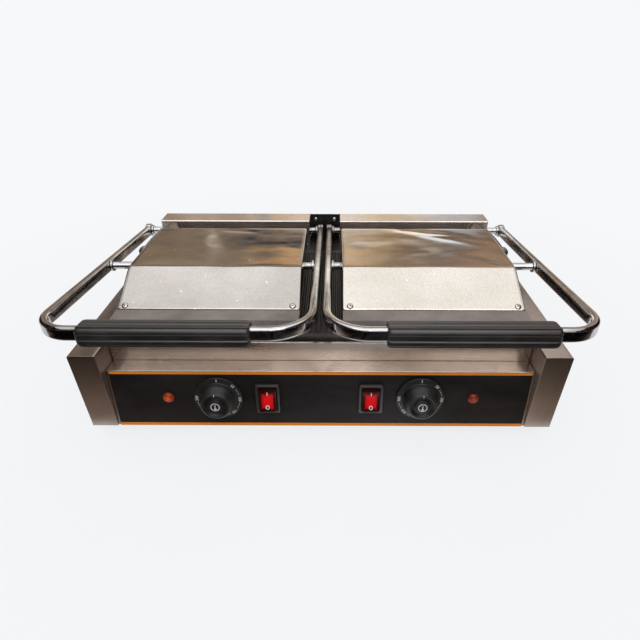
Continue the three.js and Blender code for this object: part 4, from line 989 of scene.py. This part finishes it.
def makeRocker(side):
    x = boxCentre(f"rocker_{side}").x * 1000
    steps = rocker["steps"]
    stations = edgeStations(-rocker["width"] / 2, rocker["edge"])
    stations += [(-across, sink) for across, sink in reversed(stations)]
    rings = []
    for across, sink in stations:
        reach = rocker["height"] / 2 - sink
        ring = [onRocker(x, across, -reach, -rocker["keel"]), onRocker(x, across, reach, -rocker["keel"])]
        for k in range(steps + 1):
            up = reach * (1 - 2 * k / steps)
            ring.append(onRocker(x, across, up, rockerFace(up) - sink - rocker["corners"].get(k, 0)))
        rings.append(ring)
    middle = onRocker(x, 0, rocker["glowUp"], rocker["rise"] - rocker["dish"])
    glow = dyedLens(f"rockerLens_{side}", lensTones["rocker"], middle,
                    (rocker["glowX"] / 1000, 1, rocker["glowZ"] / 1000), True)
    said = f"{side}_rocker", "red_lens", f"rocker_{side}"
    newPiece(f"rockerButton_{side}", loft(rings), glow, 50, *said)
    # the marks lean with the dished face
    up = panelUp * math.cos(rockerTilt) - panelOut * math.sin(rockerTilt)
    out = rightward.cross(up) * (8 * rocker["dish"] * rocker["barUp"] / rocker["height"] ** 2)
    on, off = (onRocker(x, 0, height, rockerFace(height) + rocker["inkLift"])
               for height in (rocker["barUp"], rocker["ringUp"]))
    marks = [inkBar(on, (up + out).normalized(), *rocker["bar"]),
             inkRing(off, (up - out).normalized(), *rocker["ring"])]
    newPiece(f"rockerMarks_{side}", joined(marks), whiteInk, 35, *said)


for side in sides:
    makeBezel(side)
    makeRocker(side)
print("switches made")

# Armoured hoses: from an elbow on each cover, back and down into a gland on the deck. Nut, ferrule and
# gland are (radius, height) pairs
hose = {
    "radius": 4.7, "valleyShare": 0.8, "pitch": 3.3, "sides": 24, "pullBack": 84, "pullUp": 32, "lift": 4,
    "reach": 11, "gap": 0.3, "steps": 120, "elbowOut": 9.5, "elbowRadius": 6.9, "elbowBend": 8,
    "bendSteps": 8, "elbowSides": 32, "stemInside": 9, "nutSides": 6, "ferruleEdge": 0.8, "glandSides": 40,
    "glandEdge": 0.5,
    "nut": ((0, 0.3), (8, 0.3), (8.6, 0.9), (8.6, 3.7), (8, 4), (0, 4)),
    "ferrule": ((0, -5.5), (7.8, -5.5), (7.8, -0.2), (0, -0.2)),
    "gland": ((3, -8), (6, -8), (6, 0), (7.4, 0), (7.4, 1.8), (6.6, 2.6), (6.3, 4.6), (3, 4.7)),
}
hoseRibs = hoseTree()


# Returns where the hose starts
def makeElbow(side, sign):
    node = f"conduit_elbow_{side}"
    height, end = boxCentre(node).z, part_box(node)[1].y
    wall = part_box(f"upper_cover_{side}")[1 if sign > 0 else 0].x
    knee = wall + sign * hose["elbowOut"] / 1000
    y = end - hose["reach"] / 1000
    corners = [Vector((wall - sign * hose["stemInside"] / 1000, y, height)), Vector((knee, y, height)),
               Vector((knee, end, height))]
    path = filletedPath(corners, (hose["elbowBend"] / 1000,), hose["bendSteps"])
    count, wide = hose["elbowSides"], hose["elbowRadius"] / 1000
    turns = [2 * math.pi * i / count for i in range(count)]
    circle = [(wide * math.cos(t), wide * math.sin(t)) for t in turns]
    shapes = {
        "bend": loft(sweep(path, circle, Vector((0, 0, 1)))),
        "nut": turned(hose["nut"], Vector((wall, y, height)), rightward * sign, hose["nutSides"]),
        "ferrule": turned(hose["ferrule"], Vector((knee, end, height)), Vector((0, 1, 0)), count,
                          hose["ferruleEdge"]),
    }
    for part, shape in shapes.items():
        newPiece(f"elbow_{part}_{side}", shape, zincSteel, 40, f"{side}_plate", "zinc", node)
    return Vector((knee, end + hose["gap"] / 1000, height))


# Returns where the hose ends
def makeGland(side):
    node = f"conduit_gland_{side}"
    centre, top = boxCentre(node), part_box(node)[1].z
    seat = Vector((centre.x, centre.y, top - hose["gland"][-1][1] / 1000))
    gland = turned(hose["gland"], seat, Vector((0, 0, 1)), hose["glandSides"], hose["glandEdge"], hollow=True)
    newPiece(f"deckGland_{side}", gland, zincSteel, 40, "body", "zinc", node)
    return Vector((centre.x, centre.y, top + hose["gap"] / 1000))


# The hose is one route made as two pieces; it crosses two joints, but neither piece rides on a body
def makeHose(side, sign):
    start, end = makeElbow(side, sign), makeGland(side)
    leave = start + Vector((0, hose["pullBack"], hose["lift"])) / 1000
    enter = end + Vector((0, 0, hose["pullUp"])) / 1000
    route = []
    for k in range(hose["steps"] + 1):
        t = k / hose["steps"]
        s = 1 - t
        route.append(start * s ** 3 + leave * 3 * t * s ** 2 + enter * 3 * t * t * s + end * t ** 3)
    middle = next(k for k, point in enumerate(route) if point.y > (start.y + end.y) / 2)
    travelled = sum((b - a).length for a, b in zip(route[:middle + 1], route[1:middle + 1]))
    halves = (("plateEnd", route[:middle + 1], 0.0, f"{side}_plate", f"{side}_handle"),
              ("deckEnd", route[middle:], travelled, f"{side}_handle", "body"))
    for name, points, offset, first, second in halves:
        links = [(i, i + 1) for i in range(len(points) - 1)]
        data = grown(points, links, [], hoseRibs, {
            "Radius": hose["radius"] / 1000, "Valley Share": hose["valleyShare"],
            "Turn Pitch": hose["pitch"] / 1000, "Start": offset, "Sides": hose["sides"], "Finish": hoseSteel})
        piece = addPiece(f"hose_{name}_{side}", data, 70, None, "zinc", f"conduit_{side}")
        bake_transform(piece)


for side, sign in sides.items():
    makeHose(side, sign)
print("hoses made")

# Screws: a small face of the seed mesh marks the place and the direction of each head

screw = {
    "radius": 3.9, "height": 2.0, "slotWidth": 1.0, "slotDepth": 1.1, "spot": 1.0, "seed": 4,
    "coverInset": 8.5, "coverUp": 5.5, "panelInset": 12, "armRadius": 5.6, "armHeight": 1.7,
}
screwHeads = screwTree()


# One square for each (centre, normal), wound so that it faces along the normal
def makeScrews(name, places, body, slot, radius, height):
    vertices, faces = [], []
    for centre, normal in places:
        side = normal.orthogonal().normalized() * (screw["spot"] / 1000)
        other = normal.cross(side)
        faces.append(tuple(range(len(vertices), len(vertices) + 4)))
        vertices += [centre + side * u + other * v for u, v in ((-1, -1), (1, -1), (1, 1), (-1, 1))]
    data = grown(vertices, [], faces, screwHeads, {
        "Head Radius": radius / 1000, "Head Height": height / 1000, "Slot Width": screw["slotWidth"] / 1000,
        "Slot Depth": screw["slotDepth"] / 1000, "Seed": screw["seed"], "Finish": screwSteel})
    addPiece(name, data, 35, body, slot)


def coverScrewPlaces(sign):
    slope = Vector((0, cover["foldY"] - cover["frontY"], cover["top"] - cover["bottom"])).normalized()
    low = place(0, cover["frontY"], cover["bottom"]) + slope * (screw["coverUp"] / 1000)
    inner, outer = cover["innerX"] + screw["coverInset"], cover["outerX"] - screw["coverInset"]
    return [(low + rightward * (sign * x / 1000), Vector((0, -slope.z, slope.y))) for x in (inner, outer)]


def bodyScrewPlaces():
    inset = screw["panelInset"] / 1000
    low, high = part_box("back_panel")
    places = [((x, high.y, z), (0, 1, 0)) for z in (low.z + inset, high.z - inset)
              for x in (low.x + inset, 0, high.x - inset)]
    low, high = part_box("rear_housing")
    places += [((x, high.y, (low.z + high.z) / 2), (0, 1, 0))
               for x in (low.x + inset, low.x / 2, high.x / 2, high.x - inset)]
    low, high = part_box("base_pan")
    places += [((x, y, low.z), (0, 0, -1)) for x in (low.x + inset, high.x - inset)
               for y in (low.y + inset, 0, high.y - inset)]
    for side, sign in sides.items():
        low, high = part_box(f"side_box_{side}")
        x = high.x if sign > 0 else low.x
        places += [((x, y, low.z + inset), (sign, 0, 0)) for y in (low.y + 2 * inset, high.y - 2 * inset)]
    return [(Vector(centre), Vector(normal)) for centre, normal in places]


makeScrews("bodyScrews", bodyScrewPlaces(), "body", "zinc", screw["radius"], screw["height"])
makeScrews("linerScrews", linerScrewPlaces, "body", "zinc", liner["screwRadius"], liner["screwHeight"])
for side, sign in sides.items():
    makeScrews(f"coverScrews_{side}", coverScrewPlaces(sign), f"{side}_plate", "zinc", screw["radius"],
               screw["height"])
    outside = sign * handle["outerX"] / 1000
    armPlaces = [(Vector((outside, *spot.yz)), rightward * sign)
                 for spot in (hingeCentre, boxCentre(f"pivot_rod_{side}"))]
    makeScrews(f"armScrews_{side}", armPlaces, f"{side}_handle", "chrome", screw["armRadius"],
               screw["armHeight"])
print("screws made")

# Camera, floor, light

photo = {"lens": 25.772, "sensor": 36, "shiftX": -0.01987, "shiftY": 0.0,
         "place": (14.164, -385.076, 422.251), "pitch": 0.5795, "yaw": 0.0019, "roll": 0.0024}
cameraData = bpy.data.cameras.new("camera")
cameraData.lens = photo["lens"]
cameraData.sensor_width = photo["sensor"]
cameraData.shift_x = photo["shiftX"]
cameraData.shift_y = photo["shiftY"]
cameraData.clip_start = 0.01
camera = bpy.data.objects.new("camera", cameraData)
camera.matrix_world = Matrix.Translation(place(*photo["place"]))
for angle, axis in ((photo["yaw"], "Z"), (math.pi / 2 - photo["pitch"], "X"), (photo["roll"], "Z")):
    camera.matrix_world @= Matrix.Rotation(angle, 4, axis)
scene.collection.objects.link(camera)
scene.camera = camera
scene.view_settings.view_transform = "Standard"

floorSettings = {"reach": 60, "tone": "#f7f8fa", "nearShare": 0.84, "near": 0.38, "far": 0.85,
                 "fill": "#eef1f6", "fillStrength": 0.5}
paleTone = colour(floorSettings["tone"])


# One flat square or card
def newCard(name, corners):
    data = bpy.data.meshes.new(name)
    data.from_pydata(corners, [], [(0, 1, 2, 3)])
    piece = bpy.data.objects.new(name, data)
    scene.collection.objects.link(piece)
    return piece


# What the camera and shiny things see of the world around the object
def seenDirectly(add):
    rays = add("LightPath").node.outputs
    seen = add("Math", (rays["Is Camera Ray"], rays["Is Glossy Ray"]), operation="MAXIMUM")
    return add("Math", (seen, rays["Is Transmission Ray"]), operation="MAXIMUM")


# Matt paper sweep: the pale background shows through it, and it keeps the object's shadow
def makeFloor():
    reach = floorSettings["reach"]
    floor = newCard("floor", [(-reach, -reach, 0), (reach, -reach, 0), (reach, reach, 0), (-reach, reach, 0)])
    material, add = newMaterial("paleFloor")
    finished(material, {"Base Color": paleTone, "Roughness": 0.9})
    away = add("VectorMath", [objectPoint(add)], operation="LENGTH")
    near, far = floorSettings["near"], floorSettings["far"]
    paper = add("MapRange", (away, near, far, floorSettings["nearShare"], 1.0))
    share = add("Math", (seenDirectly(add), paper), operation="MULTIPLY")
    matt = material.node_tree.nodes["Principled BSDF"].outputs[0]
    showInstead(material, add("MixShader", (share, matt, add("Emission", (paleTone, 1.0)))))
    floor.data.materials.append(material)


def makeWorld():
    world = bpy.data.worlds.new("studio")
    scene.world = world
    world.use_nodes = True
    world.node_tree.nodes.clear()
    add = partial(addNode, world.node_tree)
    dim = add("Background", (colour(floorSettings["fill"]), floorSettings["fillStrength"]))
    pale = add("Background", (paleTone, 1.0))
    add("OutputWorld", {"Surface": add("MixShader", (seenDirectly(add), dim, pale))})


makeFloor()
makeWorld()

# Painted cards that stand round the set, as for any shiny product: only gloss sees them.
# across and upward are tones from end to end and from the bottom up, as shares. below is for what is
# under the line. Patches are cloudy. Each blot is a middle, two radii in metres and its tone, and it
# fades out between the two shares of its radii
blotEdge = 0.45, 1.15
cards = {
    "behind": {
        "corners": ((-2.6, 1.5, 0), (2.6, 1.5, 0), (2.6, 1.5, 2.0), (-2.6, 1.5, 2.0)),
        "rise": 2, "glow": 1.6,
        "across": [(0.22, "#96806f"), (0.33, "#9a8877"), (0.42, "#a1917f"), (0.475, "#b5a796"),
                   (0.51, "#bfab92"), (0.57, "#9b8571"), (0.64, "#a58d7a"), (0.76, "#b39a8a")],
        "below": [(0.3, "#c0b0a4"), (0.372, "#e2cebc"), (0.38, "#fff2e6"), (0.39, "#d6c2b0"),
                  (0.424, "#dccbbb"), (0.432, "#fff4e2"), (0.44, "#bfcad2"), (0.45, "#ffe8c8"),
                  (0.52, "#ffffff"), (0.545, "#ffecc8"), (0.575, "#fff6e8"), (0.59, "#eef6ff"),
                  (0.62, "#e8f0fc"), (0.64, "#a89c92")],
        "line": (0.345, 0.365), "upward": [(0.0, "#ffffff"), (0.64, "#ffffff")],
        "patches": [(0.36, "#8a8a8c"), (0.5, "#e8e4e0"), (0.64, "#ffffff")], "stretch": (3, 3, 5),
        "blots": (((-0.27, 0.785), (0.27, 0.076), "#363e48"), ((-0.24, 0.9), (0.2, 0.065), "#e4bc8c"),
                  ((0.13, 0.87), (0.17, 0.07), "#e8c494"), ((0.12, 0.785), (0.14, 0.04), "#83868a"),
                  ((0.5, 0.73), (0.16, 0.03), "#f0e8e0"), ((-0.56, 0.8), (0.03, 0.1), "#f0e6da"),
                  ((-1.36, 1.37), (0.3, 0.2), "#fff0e0"), ((1.26, 1.37), (0.3, 0.2), "#e8c8b6"))},
    "front": {
        "corners": ((-1.6, -2.2, 0.002), (1.6, -2.2, 0.002), (1.6, -0.18, 0.002), (-1.6, -0.18, 0.002)),
        "rise": 1, "glow": 1.4,
        "across": [(0.36, "#6f6259"), (0.405, "#75675e"), (0.44, "#b09d90"), (0.53, "#ffffff"),
                   (0.565, "#d8c8ba"), (0.585, "#75675e"), (0.7, "#6f6056")],
        "upward": [(0.0, "#303030"), (0.87, "#2a2a2e"), (0.92, "#545456"), (0.955, "#a6a6a6"),
                   (0.985, "#ffffff")],
        "patches": [(0.37, "#2a2420"), (0.45, "#c8bcb2"), (0.56, "#ffffff")], "stretch": (11, 2.2, 1)},
    "camera": {
        "corners": ((-2.6, -2.7, 0), (2.6, -2.7, 0), (2.6, -2.7, 2.6), (-2.6, -2.7, 2.6)),
        "rise": 2, "glow": 3.0,
        "across": [(0.15, "#8c7d70"), (0.33, "#94857a"), (0.37, "#d8c6ba"), (0.42, "#f0dccf"),
                   (0.462, "#b8a89c"), (0.473, "#5e544c"), (0.49, "#5e544c"), (0.5, "#fff8f2"),
                   (0.8, "#fff8f4"), (0.9, "#c8b8a8")],
        "upward": [(0.0, "#404040"), (0.36, "#5a5a5a"), (0.5, "#ffffff")],
        "patches": [(0.41, "#342d29"), (0.49, "#d8d0c8"), (0.58, "#ffffff")], "stretch": (5.5, 1, 0.5)},
}
for side, sign in sides.items():
    x = 1.9 * sign
    cards[side] = {
        "corners": ((x, -2.7, 0), (x, 1.5, 0), (x, 1.5, 2.0), (x, -2.7, 2.0)), "rise": 2, "glow": 1.0,
        "across": [(0.0, "#6a5a50"), (1.0, "#5a4a42")], "upward": [(0.0, "#8a8a8a"), (1.0, "#ffffff")],
        "patches": [(0.4, "#3a322e"), (0.6, "#ffffff")], "stretch": (1.5, 1.5, 1.5)}


def makeCard(name, card):
    piece = newCard(f"card_{name}", card["corners"])
    material, add = newMaterial(f"paintedCard_{name}")
    where = add("SeparateXYZ", [objectPoint(add)]).node.outputs
    shares = []
    for axis in (1 if name in sides else 0, card["rise"]):
        reach = [corner[axis] for corner in card["corners"]]
        shares.append(add("MapRange", (where[axis], min(reach), max(reach), 0, 1)))
    across, upward = shares
    clouds = add("TexNoise", (objectPoint(add, card["stretch"]), 1, 2, 0.5))
    patches = add("ValToRGB", [clouds], card["patches"])
    tone = add("ValToRGB", [across], card["across"])
    if "below" in card:
        above = add("MapRange", (upward, *card["line"], 0, 1))
        tone = add("Mix", (above, add("ValToRGB", [across], card["below"]), tone), data_type="RGBA")
    for (x, z), (halfWide, halfHigh), code in card.get("blots", ()):
        spot = objectPoint(add, (1 / halfWide, 0, 1 / halfHigh), shift=(-x / halfWide, 0, -z / halfHigh))
        inside = add("MapRange", (add("VectorMath", [spot], operation="LENGTH"), *blotEdge, 1, 0))
        tone = add("Mix", (inside, tone, colour(code)), data_type="RGBA")
    tone = add("Mix", (1.0, tone, add("ValToRGB", [upward], card["upward"])), **multiply)
    showInstead(material, add("Emission", (add("Mix", (1.0, tone, patches), **multiply), card["glow"])))
    piece.data.materials.append(material)
    piece.visible_camera = piece.visible_diffuse = piece.visible_transmission = piece.visible_shadow = False


for name, card in cards.items():
    makeCard(name, card)

lamps = {
    "ceiling": {"place": (0.0, 0.1, 2.1), "aim": (0, 0.1, 0), "size": (2.6, 2.6), "watts": 14.2},
    "front": {"place": (-0.5, -2.2, 1.5), "aim": (0, 0, 0.1), "size": (1.4, 1.4), "watts": 5},
    "strip": {"place": (0.0, -1.2, 1.9), "aim": (0, 0, 0.1), "size": (2.4, 0.35), "watts": 10},
}
for name, lamp in lamps.items():
    light = bpy.data.lights.new(name, "AREA")
    light.shape = "RECTANGLE"
    light.energy = lamp["watts"]
    light.size, light.size_y = lamp["size"]
    holder = bpy.data.objects.new(name, light)
    where, aim = Vector(lamp["place"]), Vector(lamp["aim"])
    turn = (where - aim).to_track_quat("Z", "Y").to_matrix().to_4x4()
    holder.matrix_world = Matrix.Translation(where) @ turn
    scene.collection.objects.link(holder)
print("camera and lights set")
